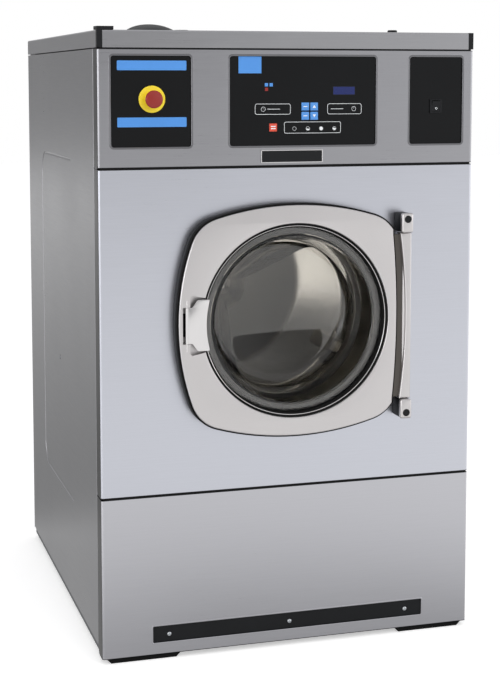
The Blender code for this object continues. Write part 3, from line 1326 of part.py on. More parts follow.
def build_hinge():
    """Make the two fixed lugs and the waisted bar that turns between them."""
    x, y = HINGE_AXIS
    half = LUG_WIDTH / 2
    bore = HINGE_PIN_RADIUS + PIN_PLAY
    for name, side in (("upper_hinge_lug", 1), ("lower_hinge_lug", -1)):
        middle = DRUM_AXIS_HEIGHT + side * LUG_PLACE
        low, high = middle - LUG_HEIGHT / 2, middle + LUG_HEIGHT / 2
        lug = box(name, (x - half, FRONT - HINGE_PROUD, low), (x + half, FRONT - SEAT, high),
                  "cast aluminium")
        soften(lug, LUG_EDGE)
        inner = middle - side * LUG_HEIGHT / 2
        cut(lug, rod(name + "_bore", (x, y, inner - side * OVERRUN),
                     (x, y, inner + side * (HINGE_PIN_LENGTH + SEAT)), bore))

    reach = bar_reach()
    z = DRUM_AXIS_HEIGHT
    right = [(x + half, z - reach), (x + half, z + reach)]
    waist = [(side, z + height) for side, height in bowed_edge(x - half, BAR_WAIST, reach)]
    front = y - BAR_DEPTH / 2
    bar = flat_piece("hinge_bar", [right + waist], front, y + BAR_DEPTH / 2, finish="cast aluminium",
                     edge=BAR_EDGE)
    inner = bowed_edge(FRAME_HINGE_EDGE + SEAT, FRAME_HINGE_BOW, reach - LUG_EDGE)
    web_low, web_high = (x, z - reach + LUG_EDGE), (x, z + reach - LUG_EDGE)
    web_edge = [(side, z + height) for side, height in inner]
    web = flat_piece("bar_web", [[web_low, web_high] + web_edge], front + BAR_WEB_SINK,
                     y + BAR_DEPTH / 2 - BAR_EDGE)
    tip = reach + HINGE_PIN_LENGTH
    join(bar, web, rod("hinge_pin", (x, y, z - tip), (x, y, z + tip), HINGE_PIN_RADIUS))


def build_services():
    """Make the drain valve, the water inlet and the power gland."""
    y = FRONT + DRAIN_PLACE
    tub_bottom = DRUM_AXIS_HEIGHT - TUB_RADIUS - SEAT
    body = turned("drain_valve", [(0, DRAIN_BODY_BOTTOM), (DRAIN_BODY_RADIUS, DRAIN_BODY_BOTTOM),
                                  (DRAIN_BODY_RADIUS, tub_bottom), (0, tub_bottom)],
                  (0, y), "black plastic", "Z", MEDIUM_STEPS)
    end = REAR + REAR_PROUD
    pipe = rod("drain_pipe", (0, y, DRAIN_PIPE_HEIGHT), (0, end, DRAIN_PIPE_HEIGHT), DRAIN_PIPE_RADIUS,
               steps=MEDIUM_STEPS)
    bore = rod("drain_bore", (0, end - DRAIN_BORE_DEPTH, DRAIN_PIPE_HEIGHT),
               (0, end + OVERRUN, DRAIN_PIPE_HEIGHT), DRAIN_PIPE_RADIUS - DRAIN_PIPE_WALL, steps=MEDIUM_STEPS)
    join(body, pipe)
    cut(body, bore)

    inner = REAR_PANEL_INNER - SEAT
    half_width, half_height = INLET_BODY_WIDTH / 2, INLET_BODY_HEIGHT / 2
    low = (INLET_SIDE - half_width, inner - INLET_BODY_DEPTH, INLET_HEIGHT - half_height)
    high = (INLET_SIDE + half_width, inner, INLET_HEIGHT + half_height)
    valve = box("inlet_valve", low, high, "black plastic")
    soften(valve, INLET_EDGE)
    ports = []
    for x, z in inlet_ports():
        ports.append(rod("inlet_port", (x, inner - INLET_BODY_DEPTH / 2, z), (x, REAR + INLET_PROUD, z),
                         INLET_PORT_RADIUS))
    join(valve, *ports)

    outer = REAR_PANEL_INNER + SHEET + SEAT
    gland = rod("power_gland", (GLAND_SIDE, inner - GLAND_TAIL, GLAND_HEIGHT),
                (GLAND_SIDE, outer + GLAND_NUT_LENGTH + GLAND_TAIL, GLAND_HEIGHT), GLAND_RADIUS,
                "black plastic")
    join(gland, rod("gland_nut", (GLAND_SIDE, outer, GLAND_HEIGHT),
                    (GLAND_SIDE, outer + GLAND_NUT_LENGTH, GLAND_HEIGHT), GLAND_NUT_RADIUS,
                    steps=NUT_SIDES))


def inlet_ports():
    """List the centres of the two water ports."""
    return [(INLET_SIDE - INLET_SPACING / 2, INLET_HEIGHT), (INLET_SIDE + INLET_SPACING / 2, INLET_HEIGHT)]


def group_bodies():
    """Hang each moving body's pieces on an empty on its joint's axis."""
    pieces = bpy.data.objects
    x, y = HINGE_AXIS
    door = [pieces[name] for name in ("door_frame", "door_glass", "glass_clamp", "hinge_bar")]
    hinge = carried_by((x, y, DRUM_AXIS_HEIGHT), "door_pivot", door)
    handle = carried_by((*HANDLE_AXIS, DRUM_AXIS_HEIGHT), "handle_pivot", [pieces["door_handle"]])
    carry_pivot(handle, hinge)
    drum = [pieces[name] for name in ("drum_shell", "drum_spider", "drum_pulley")]
    carried_by((0, 0, DRUM_AXIS_HEIGHT), "drum_pivot", drum)
    carried_by((MOTOR_SIDE, 0, MOTOR_HEIGHT), "motor_pivot", [pieces["motor_pulley"]])


def main():
    """Build the whole machine."""
    clear_scene()
    new_collection("washer_extractor")
    new_collection("cutters")
    build_base()
    build_cradles()
    build_front_panels()
    build_fascia()
    build_keys()
    build_emergency_stop()
    build_power_switch()
    build_side_panels()
    build_rear_panel()
    build_lid()
    build_hopper()
    build_tub()
    build_drum()
    build_drive()
    build_door()
    build_handle()
    build_lock()
    build_hinge()
    build_services()
    group_bodies()


main()
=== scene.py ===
import json
import math

import bmesh
import bpy
from bpy.props import FloatProperty, FloatVectorProperty, IntProperty, PointerProperty
from mathutils import Matrix, Vector


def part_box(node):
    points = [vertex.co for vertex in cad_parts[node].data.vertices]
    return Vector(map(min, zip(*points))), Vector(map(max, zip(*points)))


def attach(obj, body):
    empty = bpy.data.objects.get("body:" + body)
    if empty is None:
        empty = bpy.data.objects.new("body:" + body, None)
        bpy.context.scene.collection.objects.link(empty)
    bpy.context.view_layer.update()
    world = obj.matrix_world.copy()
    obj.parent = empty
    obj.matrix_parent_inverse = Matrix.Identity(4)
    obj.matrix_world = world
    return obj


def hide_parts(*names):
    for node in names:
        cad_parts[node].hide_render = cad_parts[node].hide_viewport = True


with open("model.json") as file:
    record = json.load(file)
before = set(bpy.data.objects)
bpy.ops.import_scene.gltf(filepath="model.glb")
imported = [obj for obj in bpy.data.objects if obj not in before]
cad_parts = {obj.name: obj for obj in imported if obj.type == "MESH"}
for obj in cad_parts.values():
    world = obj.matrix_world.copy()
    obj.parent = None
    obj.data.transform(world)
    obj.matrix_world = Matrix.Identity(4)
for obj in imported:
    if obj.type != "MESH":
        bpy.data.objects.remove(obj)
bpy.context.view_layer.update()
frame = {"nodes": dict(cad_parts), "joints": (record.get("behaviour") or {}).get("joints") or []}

bl_info = {
    "name": "Hard mount washer extractor",
    "version": (1, 0, 0),
    "blender": (4, 5, 0),
    "location": "3D View > Sidebar > Washer",
    "description": "Dresses the packed washer extractor with its sheet metal, door, controls and studio",
    "category": "Object",
}

MM = 0.001
TINY = 1e-6
QUARTER_TURN = math.pi / 2
HALF_TURN = math.pi
FULL_TURN = 2 * math.pi

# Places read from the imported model
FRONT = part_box("door_panel")[0].y
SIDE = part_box("right_side_panel")[1].x
LID_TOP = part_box("top_panel")[1].z
GLASS_LOW, GLASS_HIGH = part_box("door_glass")
FRAME_LOW, FRAME_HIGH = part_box("door_frame")
AXIS = (0.0, (GLASS_LOW.z + GLASS_HIGH.z) / 2)
HINGES = {joint["name"]: joint for joint in frame["joints"]}
HINGE_SIDE, HINGE_DEPTH, HINGE_LEVEL = HINGES["door_swing"]["pos_m"]
PULL_SIDE, PULL_DEPTH, PULL_LEVEL = HINGES["handle_pull"]["pos_m"]

# Radius of the door frame's opening
RING = 0.220
# How far a plate reaches behind the edges of its window
LAP = 0.006
# How deep the front panels are folded back at the sides and the seams
FOLD = 0.007
# Radius of a small screw's head
SMALL_SCREW = 0.0045
# Keeps two faces out of one plane
HAIR = 0.0001

# The camera that fits the photograph
CAMERA_PLACE = (-1.0643, -3.732, 1.304)
CAMERA_YAW = 16.68
CAMERA_PITCH = 5.49
CAMERA_LENS = 77.78
CAMERA_SHIFT = (0.0, -0.178)

# Steps round a large and a small circle
ROUND = 96
SMALL = 40

WHITE = (1, 1, 1, 1)


def linear(code):
    """Turn an sRGB hex colour to linear red, green and blue."""
    parts = [int(code[i:i + 2], 16) / 255 for i in (1, 3, 5)]
    return tuple(c / 12.92 if c <= 0.04045 else ((c + 0.055) / 1.055) ** 2.4 for c in parts)


def colour(label, text, code):
    """Make a colour property from a hex colour."""
    return FloatVectorProperty(
        name=label, description=text, subtype="COLOR", size=3, min=0, max=1, default=linear(code))


def length(label, text, millimetres):
    """Make a length property from a size in millimetres."""
    return FloatProperty(
        name=label, description=text, subtype="DISTANCE", unit="LENGTH", min=0, default=millimetres * MM)


def watts(label, text, power):
    """Make a property for a light's power."""
    return FloatProperty(name=label, description=text, subtype="POWER", min=0, default=power)


class WasherColours(bpy.types.PropertyGroup):
    """Colours of the washer's surfaces."""

    # Painted light and shade: the side, lid, fascia, window lip, door and lower sheets are one brushed
    # stainless, each given its own lighter or darker tone for the light and reflection that fall on that
    # part.
    side: colour("Side sheet", "Brushed stainless of the side and rear panels", "#9A9A9D")
    lid: colour("Lid sheet", "Brushed stainless of the lid", "#A6A6A9")
    fascia: colour("Fascia sheet", "Brushed stainless round the controls", "#A3A3A7")
    lip_steel: colour("Window lip", "Rolled lip round the windows", "#77777A")
    # Painted reflection and shade: black laid on the front panels' return flanges at the sides and on their
    # folds at the seams.
    returns: colour("Panel returns", "Painted dark reflection and shade on the front panels' return flanges and seam folds", "#242426")
    door_sheet: colour("Door sheet", "Brushed stainless round the door", "#C6C8D0")
    lower: colour("Lower sheet", "Brushed stainless of the lower panel", "#BEBEC3")
    casting: colour("Casting", "Coated aluminium of the door frame", "#CBC8C8")
    bright: colour("Bright steel", "Polished steel of the handle and trim", "#D6D4D4")
    drum: colour("Drum", "Rolled stainless of the drum", "#C9C5BE")
    black: colour("Black plastic", "Moulded black plastic", "#1A1B1D")
    plate: colour("Control plates", "Black film on the control plates", "#0B0C0E")
    rubber: colour("Rubber", "Seals, belt and floor pads", "#161616")
    blue: colour("Blue", "Keys and printed blue fields", "#4A8FDB")
    white: colour("White print", "Printed outlines and symbols", "#E9ECEF")
    red: colour("Red", "Mushroom head of the emergency stop", "#8C1A12")
    stop_key: colour("Stop key", "Key that stops the cycle", "#D9482E")
    yellow: colour("Yellow", "Ring of the emergency stop", "#F5D92A")
    display: colour("Display", "Lit window of the display", "#152054")
    glass: colour("Glass", "Pressed bowl of the door", "#F7F7F6")
    clamp: colour("Glass clamp", "Dark ring that holds the glass from behind", "#3E3F42")
    # Painted shade: the part between the door frame and the hinge bar is the frame's own casting, given a
    # darker copy of its colour where it lies recessed.
    web: colour("Hinge web", "Casting between the door frame and the hinge bar, darkened as painted shade", "#55514D")
    paint: colour("Painted steel", "Frame, motor and brackets", "#4B4E52")
    iron: colour("Cast iron", "Pulleys and bearing housing", "#5A5B5D")
    floor: colour("Floor", "Plain studio floor", "#E6E6E6")


class WasherSizes(bpy.types.PropertyGroup):
    """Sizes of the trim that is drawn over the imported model."""

    lip: length("Window lip", "Radius of the rolled lip round each window", 2.2)
    lip_rise: length("Lip rise", "How far the lip stands from the fascia", 1.2)
    print_rise: length("Print rise", "Thickness of a printed field", 0.15)
    line: length("Printed line", "Width of a printed outline", 0.9)
    bead: length("Side bead", "Half width of the bead pressed in a side panel", 4.5)
    bead_depth: length("Bead depth", "Depth of the bead pressed in a side panel", 1.9)
    frame_edge: length("Door edge", "Rounding of the door frame's face", 5.0)
    frame_step: length("Door step", "How far the pale face lies inside the black wall", 3.8)
    frame_face: length("Door face", "Depth of the pale front part of the door frame", 7.0)
    seat: length("Glass seat", "Depth of the recess that takes the glass from behind", 18.0)
    glass: length("Glass wall", "Thickness of the door's glass", 5.0)
    hole_pitch: length("Hole pitch", "Distance between holes in the drum", 18.0)
    hole: length("Hole radius", "Radius of a hole in the drum", 3.6)
    drum_flat: length("Drum rear flat", "Radius of the flat middle of the drum's rear wall", 232.0)
    drum_bend: length("Drum corner", "Bend between the drum's side and its rear wall", 60.0)
    drum_cone: FloatProperty(
        name="Drum rear cone", subtype="ANGLE", unit="ROTATION", default=math.radians(20),
        description="Slope of the rear wall between its flat middle and the corner")
    drum_sheet: length("Drum sheet", "Thickness of the drum's sheet", 1.6)
    screw: length("Screw head", "Radius of a cabinet screw's head", 5.0)
    lifters: IntProperty(name="Lifters", description="Lifting ribs in the drum", default=3, min=1, max=6)


class WasherStudio(bpy.types.PropertyGroup):
    """Light and floor of the studio."""

    key: watts("Key light", "Power of the front light", 38.0)
    fill: watts("Fill light", "Power of the left light", 20.0)
    top: watts("Top light", "Power of the light overhead", 26.0)
    sky: FloatProperty(
        name="Room light", description="Level of the even light round the washer", default=0.62, min=0, max=1)


def colours():
    """Give the colour settings."""
    return bpy.context.scene.washer_colours


def sizes():
    """Give the size settings."""
    return bpy.context.scene.washer_sizes


def node(tree, kind, *inputs, **settings):
    """Add a node with its settings, and its inputs in the sockets' order or by name in one dict.

    A node given as an input stands for its first output.
    """
    made = tree.nodes.new("ShaderNode" + kind)
    for key, value in settings.items():
        setattr(made, key, value)
    named = inputs[0] if inputs and isinstance(inputs[0], dict) else dict(enumerate(inputs))
    for key, value in named.items():
        if isinstance(value, bpy.types.Node):
            value = value.outputs[0]
        if isinstance(value, bpy.types.NodeSocket):
            tree.links.new(value, made.inputs[key])
        else:
            made.inputs[key].default_value = value
    return made


def surface(name, shade, grain, spread, roughness, bump, mottle, **shader):
    """Make a material whose grain has a real size in millimetres, or one each along X, Y and Z.

    The spread is how far the colour strays either way. Bump is the grain's depth
    and mottle the size of broad patches, both in millimetres. Other names are
    sockets of the Principled shader.
    """
    made = bpy.data.materials.get(name)
    if made:
        return made
    made = bpy.data.materials.new(name)
    made.use_nodes = True
    tree = made.node_tree
    principled = tree.nodes["Principled BSDF"]
    place = node(tree, "TexCoord").outputs["Object"]
    scale = [1 / (size * MM) for size in (grain if isinstance(grain, tuple) else (grain,) * 3)]
    stretched = node(tree, "Mapping", {"Vector": place, "Scale": scale}, vector_type="POINT")
    fine = node(tree, "TexNoise", {"Vector": stretched, "Scale": 1.0, "Detail": 3.0, "Roughness": 0.6})
    broad = node(tree, "TexNoise", {"Vector": place, "Scale": 1 / (mottle * MM), "Detail": 2.0})
    both = node(tree, "Mix", {"Factor": 0.35, "A": fine, "B": broad}, data_type="FLOAT")
    ramp = node(tree, "ValToRGB", both)
    for stop, share, position in zip(ramp.color_ramp.elements, (1 - spread, 1 + spread), (0.3, 0.7)):
        stop.position = position
        stop.color = (*[min(1.0, channel * share) for channel in shade], 1)
    span = {"From Min": 0.3, "From Max": 0.7, "To Min": roughness[0], "To Max": roughness[1]}
    rough = node(tree, "MapRange", {"Value": both, **span})
    sources = {"Base Color": ramp, "Roughness": rough}
    if bump:
        sources["Normal"] = node(tree, "Bump", {"Height": fine, "Strength": 1.0, "Distance": bump * MM})
    for socket, source in sources.items():
        tree.links.new(source.outputs[0], principled.inputs[socket])
    for socket, value in shader.items():
        principled.inputs[socket.replace("_", " ")].default_value = value
    return made


def brushed_steel(part, shade, along="x"):
    """Stainless 304 sheet, belt-brushed: fine parallel scratches that soften what it mirrors.

    The scratches are about 0.1 mm apart on real sheet and are drawn 1.5 mm
    apart, the finest that the render shows.
    """
    grain = {"x": (90, 1.5, 1.5), "y": (1.5, 90, 1.5), "z": (1.5, 1.5, 90)}[along]
    return surface("brushed stainless " + part, shade, grain, 0.035, (0.27, 0.36), 0.010, 320, Metallic=1.0)


def cast_aluminium(part="door", shade=None):
    """Aluminium, cast, tumbled and clear-coated: a pale even sheen with a very fine fleck."""
    return surface(
        "coated cast aluminium " + part, shade or colours().casting, 1.4, 0.05, (0.33, 0.42), 0.012, 140,
        Metallic=0.92, Coat_Weight=0.15, Coat_Roughness=0.25)


def polished_steel():
    """Stainless steel, belt-polished: clear soft reflections with faint lines along its length."""
    return surface(
        "polished stainless", colours().bright, (1.2, 1.2, 40), 0.03, (0.14, 0.22), 0.004, 90, Metallic=1.0)


def rolled_steel():
    """Stainless 304, cold-rolled and welded into drum and tub: bright, a little wavy, with rub marks."""
    return surface(
        "rolled stainless", colours().drum, (4, 30, 4), 0.06, (0.18, 0.27), 0.003, 160, Metallic=1.0)


def pickled_steel():
    """Stainless 304, perforated and then pickled: a soft, frosted shine between the holes."""
    return surface("pickled stainless", colours().drum, 20, 0.05, (0.33, 0.40), 0.003, 160, Metallic=1.0)


def black_abs():
    """ABS, injection-moulded with a spark-eroded texture: a soft grey sheen on black."""
    return surface(
        "moulded black ABS", colours().black, 0.9, 0.18, (0.42, 0.55), 0.03, 60, IOR=1.53,
        Specular_IOR_Level=0.16)


def film():
    """Polyester film, back-printed and textured: even black with a silky gloss."""
    return surface(
        "printed polyester control film", colours().plate, 0.8, 0.10, (0.30, 0.38), 0.006, 90, IOR=1.57,
        Specular_IOR_Level=0.15)


def ink(part, shade):
    """Screen ink on the film: flat colour that just covers the weave of the screen."""
    return surface("screen-printed ink " + part, shade, 0.7, 0.04, (0.38, 0.46), 0.0, 30, IOR=1.50)


def rubber():
    """EPDM rubber, moulded: very dark and dull with a dusty bloom."""
    return surface(
        "moulded EPDM rubber", colours().rubber, 1.6, 0.30, (0.62, 0.78), 0.05, 45, IOR=1.52,
        Specular_IOR_Level=0.10)


def polycarbonate(part, shade):
    """Polycarbonate, injection-moulded: clean bright colour with a fine gloss."""
    return surface("moulded polycarbonate " + part, shade, 1.1, 0.05, (0.24, 0.32), 0.006, 25, IOR=1.58)


def polyamide(part, shade):
    """Glass-filled polyamide, moulded: strong colour with a low satin sheen."""
    return surface("moulded polyamide " + part, shade, 0.9, 0.06, (0.34, 0.44), 0.012, 20, IOR=1.53)


def powder_coat():
    """Steel with polyester powder baked on: slight orange peel about 2 mm across."""
    return surface("powder-coated steel", colours().paint, 2.2, 0.08, (0.38, 0.50), 0.04, 120, IOR=1.5)


def cast_iron():
    """Grey iron, sand-cast and primed: rough dark skin with sand grain about 1 mm across."""
    return surface("grey cast iron", colours().iron, 1.8, 0.20, (0.50, 0.68), 0.12, 70, Metallic=0.6)


def zinc_plate():
    """Steel, zinc-plated: screws and small parts, bright and slightly blue."""
    return surface("zinc-plated steel", linear("#C9CDD1"), 0.8, 0.08, (0.22, 0.32), 0.006, 12, Metallic=1.0)


def display_glass():
    """Tinted acrylic over a lit display: dark blue, smooth, glowing faintly."""
    return surface(
        "tinted acrylic", colours().display, (3, 3, 1), 0.12, (0.08, 0.12), 0.0, 20, IOR=1.49,
        Emission_Color=(*colours().display, 1), Emission_Strength=0.35)


def bowl_glass():
    """Borosilicate glass, pressed: clear and smooth, with a fire-polished surface."""
    return surface(
        "pressed borosilicate", colours().glass, 45, 0.02, (0.0, 0.0), 0.0, 160, IOR=1.47,
        Transmission_Weight=1.0)


def mesh_of(shape, name="shape"):
    """Turn a bmesh into a mesh with its faces turned outwards."""
    bmesh.ops.recalc_face_normals(shape, faces=shape.faces)
    mesh = bpy.data.meshes.new(name)
    shape.to_mesh(mesh)
    shape.free()
    return mesh


def evaluated(thing):
    """Take the final mesh of a temporary object and delete the object and its curve."""
    bpy.context.view_layer.update()
    graph = bpy.context.evaluated_depsgraph_get()
    mesh = bpy.data.meshes.new_from_object(thing.evaluated_get(graph))
    mesh.transform(thing.matrix_world)
    data = thing.data
    bpy.data.objects.remove(thing)
    if isinstance(data, bpy.types.Curve):
        bpy.data.curves.remove(data)
    return mesh


def linked(data, name="temporary"):
    """Make an object of data and link it to the scene."""
    thing = bpy.data.objects.new(name, data)
    bpy.context.scene.collection.objects.link(thing)
    return thing


def lathe(profile, centre=AXIS, steps=ROUND, ring=True, upright=False):
    """Turn a profile of (radius, place) about a line along Y, or along Z when upright."""
    shape = bmesh.new()
    rows = []
    for radius, place in profile:
        count = 1 if radius < TINY else steps
        row = []
        for step in range(count):
            angle = FULL_TURN * step / steps
            a, b = radius * math.cos(angle), radius * math.sin(angle)
            spot = (centre[0] + a, centre[1] + b, place) if upright else (centre[0] + a, place, centre[1] + b)
            row.append(shape.verts.new(spot))
        rows.append(row)
    pairs = list(zip(rows, rows[1:])) + ([(rows[-1], rows[0])] if ring else [])
    for first, second in pairs:
        for step in range(steps):
            near, far = step, step + 1
            spots = [first[near % len(first)], first[far % len(first)]]
            spots += [second[far % len(second)], second[near % len(second)]]
            spots = list(dict.fromkeys(spots))
            if len(spots) > 2:
                shape.faces.new(spots)
    return mesh_of(shape)


def offsets(radius, level, *steps):
    """Give profile points from steps in millimetres off a radius and a level."""
    return [(radius + a * MM, level + b * MM) for a, b in steps]


def middle_of(low, high):
    """Give the X and Z of a box's middle."""
    return (low.x + high.x) / 2, (low.z + high.z) / 2


def rod(radius, low, high, centre, steps=24, upright=True):
    """Make a plain round bar between two places."""
    return lathe([(0, low), (radius, low), (radius, high), (0, high)], centre, steps, False, upright)


def about(place, change):
    """Carry out a change about a place."""
    return Matrix.Translation(place) @ change @ Matrix.Translation(-Vector(place))


def stitch(shape, rows):
    """Join neighbouring rows of points with faces."""
    for first, second in zip(rows, rows[1:]):
        for step in range(len(first) - 1):
            shape.faces.new((first[step], first[step + 1], second[step + 1], second[step]))


def winding(outline):
    """Give twice the signed area of an outline, positive when anticlockwise."""
    return sum(x1 * y2 - x2 * y1 for (x1, y1), (x2, y2) in zip(outline, outline[1:] + outline[:1]))


def drawn(kind, lines, closed, depth, rounds):
    """Make a curve of straight pieces through lists of points, with a round bevel."""
    curve = bpy.data.curves.new("curve", "CURVE")
    curve.dimensions = kind
    curve.bevel_depth = depth
    curve.bevel_resolution = rounds
    for line in lines:
        spline = curve.splines.new("POLY")
        spline.points.add(len(line) - 1)
        for point, spot in zip(spline.points, line):
            point.co = (*spot, 1)
        spline.use_cyclic_u = closed
    return curve


def welded(mesh):
    """Join points of a mesh that lie in the same place."""
    shape = bmesh.new()
    shape.from_mesh(mesh)
    bmesh.ops.remove_doubles(shape, verts=shape.verts, dist=TINY * 10)
    return mesh_of(shape)


def plate(outlines, low, high, edge=0.0, rounds=3):
    """Fill an outline and its holes between two levels along Y, with rounded rims."""
    lines = []
    for number, outline in enumerate(outlines):
        if (winding(outline) > 0) == (number > 0):
            outline = outline[::-1]
        lines.append([(*spot, 0) for spot in outline])
    curve = drawn("2D", lines, True, edge, rounds)
    curve.fill_mode = "BOTH"
    curve.extrude = (high - low) / 2 - edge
    curve.offset = -edge
    thing = linked(curve)
    thing.rotation_euler = (QUARTER_TURN, 0, 0)
    thing.location = Vector((0, 1, 0)) * (low + high) / 2
    return welded(evaluated(thing))


def cord_of(points, radius, closed=True, squash=(1, 1, 1), pivot=(0, 0, 0), rounds=4):
    """Run a round bead along points, then flatten it towards a place."""
    curve = drawn("3D", [points], closed, radius, rounds)
    curve.use_fill_caps = True
    mesh = evaluated(linked(curve))
    mesh.transform(about(pivot, Matrix.Diagonal((*squash, 1))))
    return mesh


def block(low, high, edge=0.0, rounds=3):
    """Make a block between two corners, with rounded edges."""
    shape = bmesh.new()
    bmesh.ops.create_cube(shape, size=1)
    low, high = Vector(low), Vector(high)
    place = Matrix.Translation((low + high) / 2) @ Matrix.Diagonal((*(high - low), 1))
    bmesh.ops.transform(shape, verts=shape.verts, matrix=place)
    if edge:
        bmesh.ops.bevel(shape, geom=shape.edges[:], offset=edge, segments=rounds, profile=0.5, affect="EDGES")
    return mesh_of(shape)


def merged(*meshes):
    """Put several meshes into one."""
    shape = bmesh.new()
    for mesh in meshes:
        shape.from_mesh(mesh)
    whole = bpy.data.meshes.new("merged")
    shape.to_mesh(whole)
    shape.free()
    return whole


def cut_out(mesh, *cutters):
    """Cut shapes from a mesh."""
    target = linked(mesh)
    others = []
    for cutter in cutters:
        other = linked(cutter)
        boolean = target.modifiers.new("cut", "BOOLEAN")
        boolean.operation = "DIFFERENCE"
        boolean.solver = "EXACT"
        boolean.object = other
        others.append(other)
    result = evaluated(target)
    for other in others:
        bpy.data.objects.remove(other)
    return result


def coat(mesh, material):
    """Give a mesh one material."""
    mesh.materials.clear()
    mesh.materials.append(material)


def show(name, mesh, material, body="cabinet", stands_for=(), angle=32):
    """Make a named piece of a mesh, let it ride on a body and hide the parts it replaces."""
    mesh.name = name
    coat(mesh, material)
    mesh.shade_smooth()
    mesh.set_sharp_from_angle(angle=math.radians(angle))
    thing = linked(mesh, name)
    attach(thing, body)
    if stands_for:
        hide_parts(*stands_for)
    return thing


def clad(material, *names):
    """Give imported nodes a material."""
    for name in names:
        coat(frame["nodes"][name].data, material)


def arc(centre, radius, start, end, steps):
    """List points on an arc, with its angles in radians."""
    angles = [start + (end - start) * step / steps for step in range(steps + 1)]
    return [(centre[0] + radius * math.cos(a), centre[1] + radius * math.sin(a)) for a in angles]


def circle(centre, radius, steps=ROUND):
    """List points on a whole circle."""
    return arc(centre, radius, 0, FULL_TURN, steps)[:-1]


def bowed(base, bow, reach, steps):
    """List points up a line of half length reach that bows sideways as a parabola."""
    heights = [reach * (2 * step / steps - 1) for step in range(steps + 1)]
    return [(base + bow * (1 - (height / reach) ** 2), height) for height in heights]


def box_outline(left, right, bottom, top, radius=0.0, steps=6):
    """List points round a rectangle with round corners."""
    if not radius:
        return [(left, bottom), (right, bottom), (right, top), (left, top)]
    points = []
    spots = (
        (right - radius, bottom + radius), (right - radius, top - radius), (left + radius, top - radius),
        (left + radius, bottom + radius))
    for number, spot in enumerate(spots):
        points += arc(spot, radius, (number - 1) * QUARTER_TURN, number * QUARTER_TURN, steps)
    return points


def rounded(corners, radius, steps=6):
    """Round a polygon's corners, with one radius or one for each corner."""
    outline = []
    count = len(corners)
    for index, corner in enumerate(corners):
        bend = radius[index] if isinstance(radius, (list, tuple)) else radius
        here = Vector(corner)
        back = Vector(corners[index - 1]) - here
        ahead = Vector(corners[(index + 1) % count]) - here
        half = back.angle(ahead) / 2
        reach = min(bend / math.tan(half), back.length / 2, ahead.length / 2)
        if reach < TINY:
            outline.append(tuple(here))
            continue
        bend = reach * math.tan(half)
        middle = here + (back.normalized() + ahead.normalized()).normalized() * (bend / math.sin(half))
        start = here + back.normalized() * reach - middle
        end = here + ahead.normalized() * reach - middle
        first = math.atan2(start.y, start.x)
        turn = (math.atan2(end.y, end.x) - first + HALF_TURN) % FULL_TURN - HALF_TURN
        outline += arc(middle, bend, first, first + turn, steps)
    return outline


def screw_head(x, y, z, facing, radius=None, sunk=0.0):
    """Make a low domed screw head with a cross recess, facing along X or Y."""
    radius = radius or sizes().screw
    rise = radius * 0.42
    angles = [QUARTER_TURN * step / 5 for step in range(1, 6)]
    profile = [(0, -rise)] + [(radius * math.sin(a), -rise * math.cos(a)) for a in angles]
    head = lathe(profile + [(radius, rise * 0.3), (0, rise * 0.3)], (0, 0), 24, ring=False)
    arm, slot_width, depth = radius * 0.55, radius * 0.13, rise * 1.4
    across = block((-arm, -depth, -slot_width), (arm, -rise * 0.35, slot_width))
    upright = block((-slot_width, -depth, -arm), (slot_width, -rise * 0.35, arm))
    head = cut_out(head, across, upright)
    turn = {"front": 0, "rear": HALF_TURN, "left": -QUARTER_TURN, "right": QUARTER_TURN}[facing]
    push = Vector((0, sunk, 0))
    head.transform(Matrix.Translation((x, y, z)) @ Matrix.Rotation(turn, 4, "Z") @ Matrix.Translation(push))
    return head


def frame_outline(steps=16):
    """Draw the door frame: bowed sides, round corners and a bowed hinge edge."""
    radius, bulges = 0.088, [0.024, 0.0265] * 2
    corners = [Vector((a * 0.162, b * 0.153)) for a, b in ((-1, -1), (1, -1), (1, 1), (-1, 1))]
    outline = []
    for index, corner in enumerate(corners):
        ahead = corners[(index + 1) % 4]
        chord = ahead - corner
        half, bulge = chord.length / 2, bulges[index]
        bow = (half ** 2 + bulge ** 2) / (2 * bulge)
        outward = Vector((chord.y, -chord.x)).normalized()
        centre = (corner + ahead) / 2 + outward * (bulge - bow)
        spread = math.asin(half / bow)
        heading = math.atan2(outward.y, outward.x)
        outline += arc(centre, bow + radius, heading - spread, heading + spread, steps)
        next_chord = corners[(index + 2) % 4] - ahead
        next_half, next_bulge = next_chord.length / 2, bulges[index - 3]
        next_heading = math.atan2(-next_chord.x, next_chord.y)
        next_heading += FULL_TURN if next_heading < heading else 0
        next_spread = math.asin(next_half * 2 * next_bulge / (next_half ** 2 + next_bulge ** 2))
        outline += arc(ahead, radius, heading + spread, next_heading - next_spread, 8)[1:-1]
    limit, bow, reach = 0.2355, 0.009, 0.188
    kept = []
    for index, here in enumerate(outline):
        ahead = outline[(index + 1) % len(outline)]
        if here[0] <= limit:
            kept.append(here)
        if (here[0] <= limit) != (ahead[0] <= limit):
            share = (limit - here[0]) / (ahead[0] - here[0])
            kept.append((limit, here[1] + (ahead[1] - here[1]) * share))
        if here[0] <= limit < ahead[0]:
            kept += bowed(limit, bow, reach, steps)
    return [(x, z + AXIS[1]) for x, z in kept]


def drawn_in(outline, inset):
    """Shrink an outline evenly towards its middle."""
    points = []
    sense = 1 if winding(outline) > 0 else -1
    for back, here, ahead in zip(outline[-1:] + outline, outline, outline[1:] + outline[:1]):
        along = Vector(ahead) - Vector(back)
        normal = Vector((-along.y, along.x)).normalized() * sense
        points.append(tuple(Vector(here) + normal * inset))
    return points


